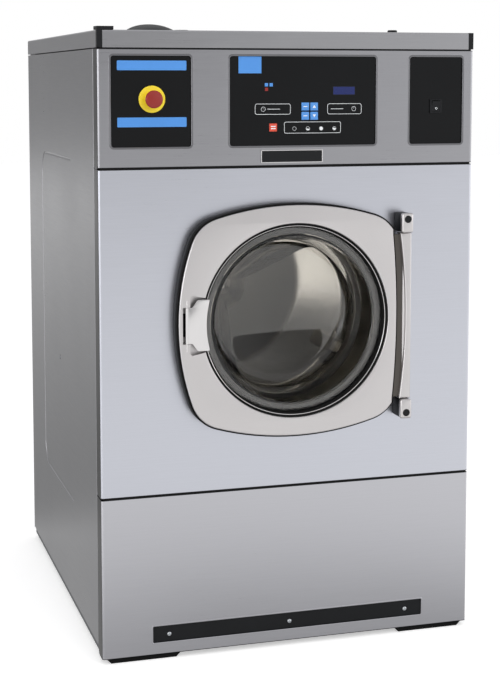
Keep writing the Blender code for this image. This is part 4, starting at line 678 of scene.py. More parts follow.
class WASHER_OT_sheet_metal(bpy.types.Operator):
    """Finish the folded sheet panels of the cabinet"""

    bl_idname = "washer.sheet_metal"
    bl_label = "Sheet metal"

    def execute(self, context):
        shades = colours()
        fronts = {
            "lower_front_panel": ("lower sheet", shades.lower),
            "door_panel": ("door sheet", shades.door_sheet),
            "control_fascia": ("fascia", shades.fascia),
        }
        for name, (part, shade) in fronts.items():
            steel = brushed_steel(part, shade)
            self.blacken_returns(steel, *(corner.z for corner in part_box(name)))
            clad(steel, name)
        clad(brushed_steel("lid", shades.lid), "top_panel")
        clad(black_abs(), "lid_corner_left", "lid_corner_right", "kick_plate")
        rim = lip(box_outline(*window("kick_plate"), 0.004), FRONT, 0.0018, 0.5)
        show("kick_plate_lip", rim, brushed_steel("lower sheet", shades.lower))
        low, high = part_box("kick_plate")
        level = low.z + (high.z - low.z) * 0.46
        heads = [screw_head(x, FRONT + 0.0022, level, "front") for x in (-0.288, -0.002, 0.285)]
        # Painted shadow: black rubber strips fill the gaps between the front panels and under the lid,
        # deepening the dark seams.
        strips = []
        stack = (*fronts, "top_panel")
        reach, tuck = SIDE - 0.006, 0.0012
        for lower, upper in zip(stack, stack[1:]):
            bottom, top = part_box(lower)[1].z - tuck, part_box(upper)[0].z + tuck
            strips.append(block((-reach, FRONT + 0.0003, bottom), (reach, FRONT + FOLD, top)))
        show("panel_seam_shadows", merged(*strips), rubber())
        show("kick_plate_screws", merged(*heads), zinc_plate())
        return {"FINISHED"}

    def blacken_returns(self, steel, bottom, top):
        """Paint dark reflection on a front panel's return flanges beside the side panels, and shade on its
        folds at the seams.
        """
        tree = steel.node_tree
        socket = tree.nodes["Principled BSDF"].inputs["Base Color"]
        spot = node(tree, "SeparateXYZ", node(tree, "TexCoord").outputs["Object"])
        side = node(tree, "Math", spot.outputs["X"], operation="ABSOLUTE")
        inside = node(tree, "Math", spot.outputs["Y"], FRONT + FOLD, operation="GREATER_THAN")
        reach = node(tree, "Math", inside, 0.002, side, operation="MULTIPLY_ADD")
        # Painted dark reflection: the return flanges beside the side panels turn black.
        limits = {"From Min": SIDE - 0.0009, "From Max": SIDE - 0.0004}
        black = node(tree, "MapRange", {"Value": reach, **limits})
        # Painted shade: the folds at the top and bottom seams turn black.
        rise = node(tree, "Math", spot.outputs["Z"], (bottom + top) / 2, operation="SUBTRACT")
        away = node(tree, "Math", rise, operation="ABSOLUTE")
        half = (top - bottom) / 2
        fold = node(tree, "MapRange", {"Value": away, "From Min": half - 0.0018, "From Max": half - 0.0012})
        dark = node(tree, "Math", black, fold, operation="MAXIMUM")
        shade = (*colours().returns, 1)
        both = node(tree, "Mix", {0: dark, 6: socket.links[0].from_socket, 7: shade}, data_type="RGBA")
        tree.links.new(both.outputs[2], socket)


def side_bead(side):
    """Give the bead pressed in a side panel, drawn as an open bracket."""
    settings = sizes()
    x = side * SIDE
    front, back = FRONT + 0.345, FRONT + 0.775
    top, bottom = 1.115, 0.285
    turn = 0.055
    path = [(front, top)] + arc((back - turn, top - turn), turn, QUARTER_TURN, 0, 8)
    path += arc((back - turn, bottom + turn), turn, 0, -QUARTER_TURN, 8) + [(front, bottom)]
    points = [(x, y, z) for y, z in path]
    return cord_of(points, settings.bead, False, (settings.bead_depth / settings.bead, 1, 1), (x, 0, 0))


class WASHER_OT_sides(bpy.types.Operator):
    """Press the beads in the side panels and sink their screws"""

    bl_idname = "washer.sides"
    bl_label = "Side panels"

    def execute(self, context):
        sheet = brushed_steel("sides", colours().side, "y")
        radius = sizes().screw
        for side, name in ((-1, "left"), (1, "right")):
            node_name = name + "_side_panel"
            x, y, z = side * SIDE, FRONT + 0.524, 0.607
            sink = rod(radius * 1.25, -radius, radius * 0.32, (0, 0), upright=False)
            turn = Matrix.Rotation(-side * QUARTER_TURN, 4, "Z")
            sink.transform(Matrix.Translation((x, y, z)) @ turn.inverted())
            panel = cut_out(welded(frame["nodes"][node_name].data), side_bead(side), sink)
            show(name + "_side_sheet", panel, sheet, stands_for=[node_name], angle=8)
            head = screw_head(x, y, z, name, radius, radius * 0.42)
            show(name + "_side_screw", head, zinc_plate())
        return {"FINISHED"}


def window(name):
    """Give the left, right, bottom and top of the window that a plate fills."""
    low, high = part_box(name)
    return low.x + LAP, high.x - LAP, low.z + LAP, high.z - LAP


def lip(outline, y, radius, flat, rise=0.0, rounds=4):
    """Run a flattened bead round an outline on the front."""
    points = [(x, y + rise, z) for x, z in outline]
    return cord_of(points, radius, True, (1, flat, 1), (0, y, 0), rounds)


def printed(outlines):
    """Make a thin printed field on a control plate."""
    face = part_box("control_plate")[0].y
    return plate(outlines, face - sizes().print_rise, face + HAIR)


def printed_ring(outline, width):
    """Make a thin printed outline on a control plate."""
    return printed([outline, drawn_in(outline, width)])


class WASHER_OT_fascia(bpy.types.Operator):
    """Trim the windows of the fascia and print the control plates"""

    bl_idname = "washer.fascia"
    bl_label = "Fascia and prints"

    def execute(self, context):
        settings, shades = sizes(), colours()
        plates = ("stop_plate", "control_plate", "switch_plate")
        flat = settings.lip_rise / settings.lip
        windows = [box_outline(*window(name), 0.0085, 8) for name in plates]
        lips = [lip(outline, FRONT, settings.lip, flat, rounds=5) for outline in windows]
        show("window_lips", merged(*lips), brushed_steel("window lip", shades.lip_steel))
        clad(film(), *plates)
        blue, white = ink("blue", shades.blue), ink("white", shades.white)
        bands = [box_outline(-0.398, -0.243, bottom, bottom + 0.0210, 0.002) for bottom in (1.3250, 1.2015)]
        show("stop_plate_bands", merged(*[printed([band]) for band in bands]), blue)
        fields = (
            (-0.124, -0.071, 1.3186, 1.356),
            (-0.063, -0.0555, 1.2895, 1.297),
            (-0.052, -0.0445, 1.2895, 1.297),
        )
        fields = merged(*[printed([box_outline(*field)]) for field in fields])
        show("control_plate_fields", fields, blue)
        red_field = printed([box_outline(-0.0625, -0.0555, 1.2795, 1.2868)])
        show("control_plate_stop_field", red_field, ink("red", shades.red))
        line = settings.line
        rings = (
            (-0.086, -0.0025, 1.227, 1.251, 0.005),
            (0.085, 0.167, 1.227, 1.251, 0.005),
            (-0.0175, 0.1173, 1.1845, 1.2104, 0.004),
        )
        marks = [printed_ring(box_outline(*ring), line) for ring in rings]
        marks += [printed_ring(circle((x, 1.239), 0.0052, 28), line * 0.8) for x in (-0.0667, 0.1485)]
        marks += [printed([box_outline(x - 0.0003, x + 0.0003, 1.239, 1.2422)]) for x in (-0.0667, 0.1485)]
        marks += [printed([box_outline(x, x + 0.030, 1.2385, 1.2395)]) for x in (-0.057, 0.093)]
        for number, x in enumerate((0.0067, 0.0387, 0.0702, 0.1018)):
            centre, radius = (x, 1.195), 0.0045
            marks.append(printed_ring(circle(centre, radius, 28), line * 0.6))
            if number:
                fill = QUARTER_TURN * number
                start = -QUARTER_TURN - fill
                marks.append(printed([arc(centre, radius * 0.8, start, start + 2 * fill, 20)[:20]]))
        show("control_plate_outlines", merged(*marks), white)
        clad(black_abs(), "badge_plate")
        low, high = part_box("badge_plate")
        edge = lip(box_outline(low.x, high.x, low.z, high.z, 0.0012), low.y, 0.0009, 0.6, 0.0004)
        show("badge_edge", edge, polished_steel())
        return {"FINISHED"}


class WASHER_OT_emergency_stop(bpy.types.Operator):
    """Make the yellow ring and the red mushroom of the emergency stop"""

    bl_idname = "washer.emergency_stop"
    bl_label = "Emergency stop"

    def execute(self, context):
        low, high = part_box("stop_ring")
        centre = middle_of(low, high)
        plate_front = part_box("stop_plate")[0].y
        outer = (high.x - low.x) / 2
        face = plate_front - 0.0033
        foot = plate_front - 0.0003
        ring = offsets(0, low.y, (7.3, 0.6), (7.9, 0), (15, 0), (15.5, 0.5))
        ring += offsets(0, face, (15.5, -0.6), (16.3, 0)) + offsets(outer, face, (-1, 0), (0, 1))
        ring += [(outer, foot), (0.0108, foot), (0.0108, high.y), (0.0073, high.y)]
        yellow = polyamide("yellow", colours().yellow)
        show("stop_yellow_ring", lathe(ring, centre), yellow, stands_for=["stop_ring"])
        clad(black_abs(), "stop_stem")

        low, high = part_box("stop_button")
        radius = (high.x - low.x) / 2
        depth = high.y - low.y
        socket = low.y + depth * 0.55
        crown = depth * 0.45
        angles = [QUARTER_TURN * step / 12 for step in range(1, 13)]
        profile = [(0, low.y)]
        profile += [(radius * math.sin(a) ** 0.9, low.y + crown * (1 - math.cos(a))) for a in angles]
        profile += offsets(radius, low.y + crown, (0, 1.5), (-1.5, 3.2))
        profile += [(0.0122, high.y), (0.0073, high.y), (0.0073, socket), (0, socket)]
        head = lathe(profile, centre, ring=False)
        red = polyamide("red", colours().red)
        show("stop_mushroom", head, red, "stop_mushroom", ["stop_button"])
        return {"FINISHED"}


class WASHER_OT_keys(bpy.types.Operator):
    """Finish the push keys with their symbols, and the display"""

    bl_idname = "washer.keys"
    bl_label = "Keys and display"

    def execute(self, context):
        shades = colours()
        white = ink("white", shades.white)
        signs = {
            "program_up": "bar",
            "value_up": "up",
            "program_down": "bar",
            "value_down": "down",
            "cycle_stop": "stop",
        }
        for body, sign in signs.items():
            node_name = body + "_key"
            low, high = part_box(node_name)
            x, z = middle_of(low, high)
            half, brim, step = 0.0089, 0.0013, high.y - 0.002
            left, right, bottom, top = x - half, x + half, z - half, z + half
            cap = block((left, low.y, bottom), (right, step, top), 0.0008)
            flange = block((left - brim, step, bottom - brim), (right + brim, high.y, top + brim), 0.0002, 1)
            shade = ("red", shades.stop_key) if sign == "stop" else ("blue", shades.blue)
            show(body + "_cap", merged(cap, flange), polycarbonate(*shade), body, [node_name])
            wide = 0.0055
            bars = [box_outline(x - wide, x + wide, base, base + 0.0022) for base in (z + 0.0013, z - 0.0035)]
            shapes = {
                "bar": [box_outline(x - 0.0045, x + 0.0045, z - 0.0009, z + 0.0009)],
                "up": [[(x - 0.0038, z - 0.0030), (x + 0.0038, z - 0.0030), (x, z + 0.0036)]],
                "down": [[(x - 0.0038, z + 0.0030), (x, z - 0.0036), (x + 0.0038, z + 0.0030)]],
                "stop": bars,
            }
            mark = merged(*[plate([shape], low.y - HAIR, low.y + 0.0004) for shape in shapes[sign]])
            show(body + "_mark", mark, white, body)
        clad(display_glass(), "display_window")
        low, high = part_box("display_window")
        rims = [box_outline(low.x - a, high.x + a, low.z - a, high.z + a) for a in (0.0008, -0.0003)]
        show("display_edge", printed(rims), black_abs())
        return {"FINISHED"}


class WASHER_OT_power_switch(bpy.types.Operator):
    """Finish the power switch with its on and off marks"""

    bl_idname = "washer.power_switch"
    bl_label = "Power switch"

    def execute(self, context):
        clad(black_abs(), "rocker_bezel", "power_rocker")
        x, y, z = HINGES["rocker_tilt"]["pos_m"]
        dish = y - 0.0033
        on = block((x - 0.0006, dish, z + 0.0030), (x + 0.0006, dish + 0.0009, z + 0.0082))
        off = cord_of([(a, dish + 0.0002, b) for a, b in circle((x, z - 0.0056), 0.0023, 24)], 0.0005)
        marks = merged(on, off)
        marks.transform(about((x, y, z), Matrix.Rotation(math.radians(-8.0), 4, "X")))
        show("rocker_marks", marks, ink("white", colours().white), "rocker")
        return {"FINISHED"}


class WASHER_OT_door(bpy.types.Operator):
    """Make the door frame, its seals and the pressed glass bowl"""

    bl_idname = "washer.door"
    bl_label = "Door"

    def execute(self, context):
        settings = sizes()
        outline = frame_outline()
        face, back = FRAME_LOW.y, FRAME_HIGH.y
        split = face + settings.frame_face
        opening = circle(AXIS, RING)
        recess = handle_recess()
        out = face - 0.004
        pocket = plate([recess], out, face + 0.016)
        slot = handle_slot()
        pale = drawn_in(outline, settings.frame_step)
        front = cut_out(plate([pale, opening], face, split, settings.frame_edge * 0.6, 5), pocket, slot)
        show("door_frame_face", front, cast_aluminium(), "door", ["door_frame"])
        seat_level = back - settings.seat
        room = plate([drawn_in(recess, -0.0015)], out, face + 0.0178)
        wall = cut_out(plate([outline, opening], split, seat_level), room, slot)
        show("door_frame_wall", wall, rubber(), "door")
        ring = rod(RING, face - 0.01, back + 0.01, AXIS, ROUND, False)
        liner = cut_out(plate([drawn_in(recess, -0.0012)], split, face + 0.0175), pocket, slot, ring)
        show("handle_pocket", liner, cast_aluminium(), "door")
        seat = circle(AXIS, RING + 0.0056)
        rear = cut_out(plate([outline, seat], seat_level, back, edge=0.0006), slot, room)
        show("door_frame_back", rear, black_abs(), "door")
        self.make_seals(face)
        self.make_glass(settings.glass)
        return {"FINISHED"}

    def make_seals(self, face):
        """Make the seal rings that step from the frame down to the glass."""
        glass = GLASS_LOW.y
        seal = offsets(RING, face, (-0.3, 3.5), (-3.5, 4), (-5, 7.5), (-6.2, 7.5), (-7, 6), (-9.5, 9))
        seal += offsets(RING, glass, (-10.2, -0.2), (-0.3, -0.2))
        show("door_front_seal", lathe(seal), rubber(), "door")
        bead = circle((RING - 0.0056, face + 0.0066), 0.0010, 10)
        show("door_seal_bead", lathe(bead), polished_steel(), "door")
        low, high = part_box("glass_clamp")
        outer = (high.x - low.x) / 2
        inner = outer - 0.030
        ring = [(outer, low.y)] + offsets(outer, high.y, (0, -1), (-1, 0))
        ring += offsets(inner, high.y, (1.5, 0), (0, -1.5)) + [(inner, low.y)]
        grey = polyamide("grey", colours().clamp)
        show("glass_clamp_ring", lathe(ring), grey, "door", ["glass_clamp"])
        half_step = FULL_TURN / 24
        spots = arc(AXIS, (outer + inner) / 2, half_step, FULL_TURN - half_step, 11)
        heads = [screw_head(x, high.y - 0.0016, z, "rear", SMALL_SCREW) for x, z in spots]
        heads = cut_out(merged(*heads), block((-1, high.y, 0), (1, high.y + 1, 2)))
        show("glass_clamp_screws", heads, zinc_plate(), "door")
        low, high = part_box("door_gasket")
        outer = (high.x - low.x) / 2
        tip = outer - 0.0157
        depth = high.y - low.y
        bellows = [(outer, low.y), (outer, high.y)] + offsets(tip, high.y, (4, 0), (0, -4))
        for share, bend in ((0.62, 0.0035), (0.50, 0.0), (0.38, 0.0035), (0.22, 0.0)):
            bellows.append((tip + bend, low.y + depth * share))
        bellows.append((tip + 0.0052, low.y))
        show("door_bellows", lathe(bellows), rubber(), stands_for=["door_gasket"])

    def make_glass(self, wall):
        """Make the bowl with its flat rim, curved shoulder and shallow crown."""
        front, rear = GLASS_LOW.y, GLASS_HIGH.y
        edge = (GLASS_HIGH.x - GLASS_LOW.x) / 2
        mouth, waist, bend, crown = 0.190, 0.178, 0.036, 0.014
        shoulder = rear - bend - crown

        def bowl(inset):
            """List the bowl's profile from its mouth to the axis, drawn in by a wall."""
            points = offsets(mouth - inset, front + wall - inset, (4, 0), (0, 5))
            points += arc((waist - bend, shoulder), bend - inset, 0, QUARTER_TURN, 16)
            shares = [1 - step / 6 for step in range(1, 7)]
            return points + [((waist - bend) * share, rear - inset - crown * share ** 2) for share in shares]

        rim = [(edge - 0.001, front), (edge, front + 0.001), (edge, front + wall)]
        glass = lathe(bowl(wall)[::-1] + rim + bowl(0), steps=128, ring=False)
        show("door_glass_bowl", glass, bowl_glass(), "door", ["door_glass"], 50)


def handle_recess():
    """Draw the pocket in the door frame that takes the pull handle."""
    x, z = PULL_SIDE, PULL_LEVEL
    left, step, right = x - 0.0095, x + 0.0075, -RING + 0.024
    narrow, tall, short = 0.0408, 0.068, 0.057
    corners = [
        (left, z - narrow), (step, z - narrow), (step, z - tall), (right, z - short), (right, z + short),
        (step, z + tall), (step, z + narrow), (left, z + narrow)]
    return rounded(corners, [0.001, 0, 0.006, 0, 0, 0.006, 0, 0.001])


def handle_slot():
    """Make the slot in the door frame for the handle's tongue."""
    x, z = PULL_SIDE, PULL_LEVEL
    return block((x - 0.0085, FRAME_LOW.y - 0.004, z - 0.026), (x + 0.0225, FRAME_HIGH.y + 0.004, z + 0.026))


class WASHER_OT_handle(bpy.types.Operator):
    """Make the pull handle with its barrel, pin and tongue"""

    bl_idname = "washer.handle"
    bl_label = "Handle"

    def execute(self, context):
        x, y, z = PULL_SIDE, PULL_DEPTH, PULL_LEVEL
        half, wide, neck, reach = 0.0402, 0.0575, 0.012, 0.0525
        bend = math.asin(wide / RING)
        hollow = RING * (1 - math.cos(bend))
        angles = [bend * (2 * step / 14 - 1) for step in range(15)]
        edge = [(x + reach - hollow + RING * (1 - math.cos(a)), z + RING * math.sin(a)) for a in angles]
        corners = [(x, z - half), (x + neck, z - half), (x + 2 * neck, z - wide)] + edge
        corners += [(x + 2 * neck, z + wide), (x + neck, z + half), (x, z + half)]
        radii = [0, 0.006, 0.006, 0.006] + [0] * (len(edge) - 2) + [0.006, 0.006, 0.006, 0]
        paddle = plate([rounded(corners, radii)], y - 0.00225, y + 0.00225, 0.0014)
        radius = 0.00375
        foot, head = z - half, z + half
        profile = [(0, foot)] + offsets(radius, foot, (-0.6, 0), (0, 0.6))
        profile += offsets(radius, head, (0, -0.6), (-0.6, 0)) + [(0, head)]
        barrel = lathe(profile, (x, y), 32, False, True)
        low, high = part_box("door_handle")
        pin = rod(0.0019, low.z, high.z, (x, y), 16)
        tongue = block((x - 0.0025, y, z - 0.020), (x + 0.0025, high.y, z + 0.020), 0.0006)
        whole = merged(paddle, barrel, pin, tongue)
        show("pull_handle", whole, polished_steel(), "handle", ["door_handle"])
        return {"FINISHED"}


class WASHER_OT_hinge(bpy.types.Operator):
    """Make the hinge lugs with their plugs, and the bar that turns between them"""

    bl_idname = "washer.hinge"
    bl_label = "Door hinge"

    def execute(self, context):
        plug_radius = 0.0086
        plugs = []
        for name, side in (("upper_hinge_lug", 1), ("lower_hinge_lug", -1)):
            low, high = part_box(name)
            inner = low.z if side > 0 else high.z
            split = low.y + 0.014
            cap = block(low, (high.x, split, high.z), 0.0050, 4)
            tuck = 0.0012
            corner = (low.x + tuck, split - 0.003, low.z + tuck)
            body = block(corner, (high.x - tuck, high.y, high.z - tuck), 0.0030)
            level = (low.z + high.z) / 2 + side * 0.0085
            middle = (HINGE_SIDE, level)
            sink = rod(plug_radius, low.y - 0.001, low.y + 0.004, middle, SMALL, False)
            bore = rod(0.0063, inner - side * 0.004, inner + side * 0.0223, (HINGE_SIDE, HINGE_DEPTH))
            cap, body = cut_out(cap, sink, bore), cut_out(body, bore)
            show(name + "_cap", cap, cast_aluminium(), "cabinet", [name])
            show(name + "_body", body, black_abs(), "cabinet", [name])
            dome = offsets(plug_radius, low.y, (-1.6, 0.4), (-0.4, 1.2), (-0.3, 3.8))
            plugs.append(lathe([(0, dome[0][1]), *dome, (0, dome[-1][1])], middle, SMALL, ring=False))
        show("hinge_plugs", merged(*plugs), black_abs())

        reach, half, waist = 0.192, 0.014, 0.014
        front, back = HINGE_DEPTH - 0.012, HINGE_DEPTH + 0.012
        z, limit, tip = HINGE_LEVEL, reach - 0.004, reach + 0.022

        def leaf(outside, inside, bow, length, *depth):
            """Make an upright leaf with a straight outside and a bowed inside."""
            edge = [(a, z + b) for a, b in bowed(inside, bow, length, 28)[::-1]]
            return plate([[(outside, z - length), (outside, z + length)] + edge], *depth)

        bar = leaf(HINGE_SIDE + half, HINGE_SIDE - half, waist, reach, front, back, 0.004, 5)
        web = leaf(HINGE_SIDE, 0.2358, 0.009, limit, front + 0.009, back - 0.004)
        pin = rod(0.006, z - tip, z + tip, (HINGE_SIDE, HINGE_DEPTH))
        show("hinge_bar_cast", merged(bar, pin), cast_aluminium(), "door", ["hinge_bar"])
        # The part between frame and bar wears the darker copy of the door casting: painted shade.
        show("hinge_web", web, cast_aluminium("hinge web", colours().web), "door")
        return {"FINISHED"}


def perforated(columns, rows, hole, place):
    """Make a sheet of tiles with one hole each; place(u, v) puts a corner in space."""
    shape = bmesh.new()
    known = {}

    def spot(u, v):
        """Share a tile corner with its neighbours."""
        key = (round(u * 4) % (columns * 4), round(v * 4))
        if key not in known:
            known[key] = shape.verts.new(place(u, v))
        return known[key]

    border = ((0.5, 0), (0.5, 0.5), (0, 0.5), (-0.5, 0.5), (-0.5, 0), (-0.5, -0.5), (0, -0.5), (0.5, -0.5))
    for column in range(columns):
        for row in range(rows):
            u, v = column + 0.5, row + 0.5
            outer = [spot(u + a, v + b) for a, b in border]
            inner = [shape.verts.new(place(*corner)) for corner in circle((u, v), hole, 8)]
            for number in range(8):
                after = (number + 1) % 8
                shape.faces.new((inner[number], outer[number], outer[after], inner[after]))
    return shape


def thickened(shape, wall):
    """Give a sheet its thickness towards the drum's outside."""
    thing = linked(mesh_of(shape))
    solid = thing.modifiers.new("sheet", "SOLIDIFY")
    solid.thickness = wall
    solid.offset = 1
    return evaluated(thing)


class WASHER_OT_drum(bpy.types.Operator):
    """Make the perforated drum with its ribs, hub cap and lifters"""

    bl_idname = "washer.drum"
    bl_label = "Drum"

    def execute(self, context):
        settings = sizes()
        low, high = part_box("drum_shell")
        outer = (high.x - low.x) / 2
        wall = settings.drum_sheet
        inner = outer - wall
        start = low.y + 0.012
        bend_edge = QUARTER_TURN - settings.drum_cone
        bend_reach = inner - settings.drum_bend * (1 - math.cos(bend_edge))
        cone_depth = (bend_reach - settings.drum_flat) * math.tan(settings.drum_cone)
        flat_front = start + 0.022
        flat_back = high.y - wall - cone_depth - settings.drum_bend * math.sin(bend_edge)
        pitch = settings.hole_pitch
        columns = round(FULL_TURN * inner / pitch)
        rows = round((flat_back - flat_front) / pitch)
        run = (flat_back - flat_front) / rows

        def on_wall(u, v):
            """Wrap tiles round the drum's side."""
            angle = FULL_TURN * u / columns
            return (inner * math.cos(angle), flat_front + v * run, AXIS[1] + inner * math.sin(angle))

        side = thickened(perforated(columns, rows, settings.hole / pitch, on_wall), wall)
        mouth = 0.200
        profile = [(outer, flat_front)] + offsets(outer, start, (0, 4), (-4, 0))
        profile += [(mouth + 0.002, start), (mouth + 0.002, low.y), (mouth, low.y), (mouth, start + 0.002)]
        profile += [(outer - 0.006, start + 0.002), (inner, start + 0.008), (inner, flat_front)]
        front = lathe(profile)
        bend = arc((inner - settings.drum_bend, flat_back), settings.drum_bend, 0, bend_edge, 20)
        middle = [(0.0405, high.y), (0.0405, high.y - wall)]
        middle += offsets(settings.drum_flat, high.y - wall, (-12, 0), (0, -1.5), (12, -5.2))
        rim = [(outer, flat_back)] + offsets(outer, high.y, (0, -4), (-4, 0))
        back = lathe(middle + bend[::-1] + rim)
        sheet = merged(side, front)
        show("drum_side_sheet", sheet, pickled_steel(), "drum", ["drum_shell"])
        show("drum_back_sheet", back, rolled_steel(), "drum")
        self.make_ribs(settings.lifters, inner, flat_front, high.y - wall)
        return {"FINISHED"}

    def make_ribs(self, count, inner, front, back):
        """Make the lifters, the pressed ribs of the rear wall and the hub cap."""
        lifters, ribs = [], []
        for number in range(count):
            turn = QUARTER_TURN + FULL_TURN * number / count
            spread = math.asin(0.062 / inner)
            base = arc((0, 0), inner - 0.0004, turn - spread, turn + spread, 12)
            tip = inner - 0.075
            lean = math.atan(0.020 / tip)
            top = arc((0, 0), math.hypot(tip, 0.020), turn + lean, turn - lean, 1)
            outline = rounded(base + top, [0] * len(base) + [0.014] * len(top), 8)
            outline = [(a, b + AXIS[1]) for a, b in outline]
            lifters.append(plate([outline], front + 0.008, back - 0.012, edge=0.004))
            ribs.append(self.ridge(turn + FULL_TURN / count / 2, back))
        show("drum_lifters", merged(*lifters), rolled_steel(), "drum")
        show("drum_back_ribs", merged(*ribs), rolled_steel(), "drum")
        dome = (
            (0, -70), (14, -69), (24, -64), (30, -56), (46, -30), (66, -10), (84, -2), (84, 0.2), (0, 0.2))
        cap = offsets(0, back, *dome)
        show("drum_hub_cap", lathe(cap, ring=False), rolled_steel(), "drum")

    def ridge(self, heading, back):
        """Make one pressed ridge that falls from the hub to the rim."""
        shape = bmesh.new()
        out = Vector((math.cos(heading), 0, math.sin(heading)))
        over = Vector((-out.z, 0, out.x))
        centre = Vector((AXIS[0], 0, AXIS[1]))
        stations = (
            (0.030, 0.030, 0.050),
            (0.080, 0.034, 0.046),
            (0.220, 0.048, 0.036),
            (0.300, 0.058, 0.036),
            (0.350, 0.062, 0.044),
        )
        rows = []
        for radius, half, height in stations:
            row = []
            for step in range(9):
                share = step / 4 - 1
                rise = height * math.cos(share * QUARTER_TURN) ** 1.4 if abs(share) < 1 else 0
                spot = centre + out * radius + over * half * share
                row.append(shape.verts.new((spot.x, back - rise, spot.z)))
            rows.append(row)
        stitch(shape, rows)
        shape.faces.new(rows[0])
        return mesh_of(shape)


class WASHER_OT_lid(bpy.types.Operator):
    """Make the hopper cover and the small fittings of the lid"""

    bl_idname = "washer.lid"
    bl_label = "Lid fittings"

    def execute(self, context):
        clad(black_abs(), "hopper_box")
        low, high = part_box("hopper_lid")
        pivot = HINGES["supply_lid_swing"]["pos_m"]
        back = pivot[1] - 0.0055
        x, width = (low.x + high.x) / 2, (high.x - low.x) / 2
        rise = high.z - low.z
        steps, runs = 24, 16
        shape = bmesh.new()
        rows = []
        for run in range(runs + 1):
            share = run / runs
            y = low.y + (back - low.y) * share
            lift = math.sin(HALF_TURN * share) ** 0.7 if 0 < share < 1 else 0.0
            row = []
            for step in range(steps + 1):
                angle = HALF_TURN * step / steps
                height = rise * (0.15 + 0.85 * lift * math.sin(angle) ** 0.8) if 0 < step < steps else 0.0
                row.append(shape.verts.new((x + width * math.cos(angle), y, low.z + height)))
            rows.append(row)
        stitch(shape, rows)
        for row in (rows[0], rows[-1]):
            shape.faces.new(row)
        shape.faces.new([row[0] for row in rows] + [row[-1] for row in rows[::-1]])
        shell = mesh_of(shape)
        hollow = shell.copy()
        middle = Vector((x, (low.y + back) / 2, low.z))
        hollow.transform(about(middle, Matrix.Diagonal((0.93, 0.965, 0.88, 1))))
        hollow.transform(Matrix.Translation((0, 0, -0.0008)))
        cover = cut_out(shell, hollow)
        half = 0.023
        arm = block((x - half, back - 0.0013, low.z), (x + half, pivot[1], pivot[2]))
        barrel = rod(0.0035, -half, half, (0, 0), 20, False)
        barrel.transform(Matrix.Translation(pivot) @ Matrix.Rotation(QUARTER_TURN, 4, "Z"))
        whole = merged(cover, arm, barrel)
        show("hopper_cover", whole, black_abs(), "supply_lid", ["hopper_lid"])
        caps = []
        foot = LID_TOP + HAIR
        vents = (((-0.130, FRONT + 0.50), 0.020, 0.0170), ((0.361, FRONT + 0.30), 0.012, 0.0150))
        for spot, radius, height in vents:
            head = LID_TOP + height
            profile = [(0, foot), (radius, foot), (radius, head - 0.002), (radius - 0.002, head), (0, head)]
            caps.append(lathe(profile, spot, 28, False, True))
        show("lid_vent_caps", merged(*caps), black_abs())
        return {"FINISHED"}


class WASHER_OT_rear(bpy.types.Operator):
    """Press the rear panel's louvres and finish its fittings"""

    bl_idname = "washer.rear"
    bl_label = "Rear panel"

    def execute(self, context):
        low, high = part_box("rear_panel")
        holes, hoods = [], []
        for number in range(10):
            level = 0.330 + 0.026 * number
            for x in (-0.16, 0.16):
                left, right, through = x - 0.080, x + 0.080, 0.01
                holes.append(block((left, low.y - through, level), (right, high.y + through, level + 0.006)))
                ends = [(x + reach, high.y, level + 0.007) for reach in (-0.082, 0.082)]
                hood = cord_of(ends, 0.007, False, (1, 0.24, 1), (0, high.y, 0))
                corner = (x - 0.2, low.y - 0.02, level - 0.02)
                inside = block(corner, (x + 0.2, high.y - HAIR, level + 0.05))
                below = block(corner, (x + 0.2, high.y + 0.02, level + 0.004))
                hoods.append(cut_out(hood, inside, below))
        sheet = cut_out(welded(frame["nodes"]["rear_panel"].data), merged(*holes))
        steel = brushed_steel("rear", colours().side, "z")
        sheet = merged(sheet, *hoods)
        show("rear_sheet", sheet, steel, stands_for=["rear_panel"], angle=18)
        inset = 0.014
        levels = [low.z + 0.05 + number * (high.z - low.z - 0.1) / 5 for number in range(6)]
        spots = [(x, z) for x in (low.x + inset, high.x - inset) for z in levels]
        spots += [(x, z) for x in (-0.2, 0.0, 0.2) for z in (low.z + inset, high.z - inset)]
        heads = [screw_head(x, high.y, z, "rear", SMALL_SCREW) for x, z in spots]
        show("rear_screws", merged(*heads), zinc_plate())
        bare = plate([box_outline(-0.06, 0.06, 1.02, 1.10, 0.003)], high.y, high.y + 0.0008, edge=0.0003)
        show("rear_bare_plate", bare, zinc_plate())
        clad(black_abs(), "drain_valve", "inlet_valve", "power_gland")
        low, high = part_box("inlet_valve")
        rings = []
        z = (low.z + high.z) / 2
        for x in (low.x + 0.025, high.x - 0.025):
            for turn in range(5):
                y = high.y - 0.003 - 0.0026 * turn
                rings.append(lathe([(0.0128, y - 0.0009), (0.0136, y), (0.0128, y + 0.0009)], (x, z), SMALL))
        show("inlet_threads", merged(*rings), black_abs())
        return {"FINISHED"}


class WASHER_OT_works(bpy.types.Operator):
    """Finish the base, the tub, the bearings and the drive"""

    bl_idname = "washer.works"
    bl_label = "Base and works"

    def execute(self, context):
        clad(rubber(), *[name for name in frame["nodes"] if name.startswith("floor_pad_")], "drive_belt")
        clad(powder_coat(), "base_rail_left", "base_rail_right", "front_cradle", "rear_cradle")
        clad(powder_coat(), "motor_bracket", "motor", "control_box", "door_lock")
        clad(rolled_steel(), "tub_shell", "tub_front")
        clad(cast_iron(), "drum_spider", "drum_pulley", "motor_pulley", "bearing_housing")
        clad(polished_steel(), "front_bearing", "rear_bearing")
        return {"FINISHED"}


def lamp(name, power, place, aim, width, height):
    """Make a soft rectangular light that points at a place."""
    light = bpy.data.lights.new(name, "AREA")
    light.shape = "RECTANGLE"
    light.size, light.size_y = width, height
    light.energy = power
    thing = linked(light, name)
    thing.location = place
    thing.rotation_euler = (Vector(aim) - Vector(place)).to_track_quat("-Z", "Y").to_euler()
    thing.visible_glossy = False
    thing.visible_transmission = False


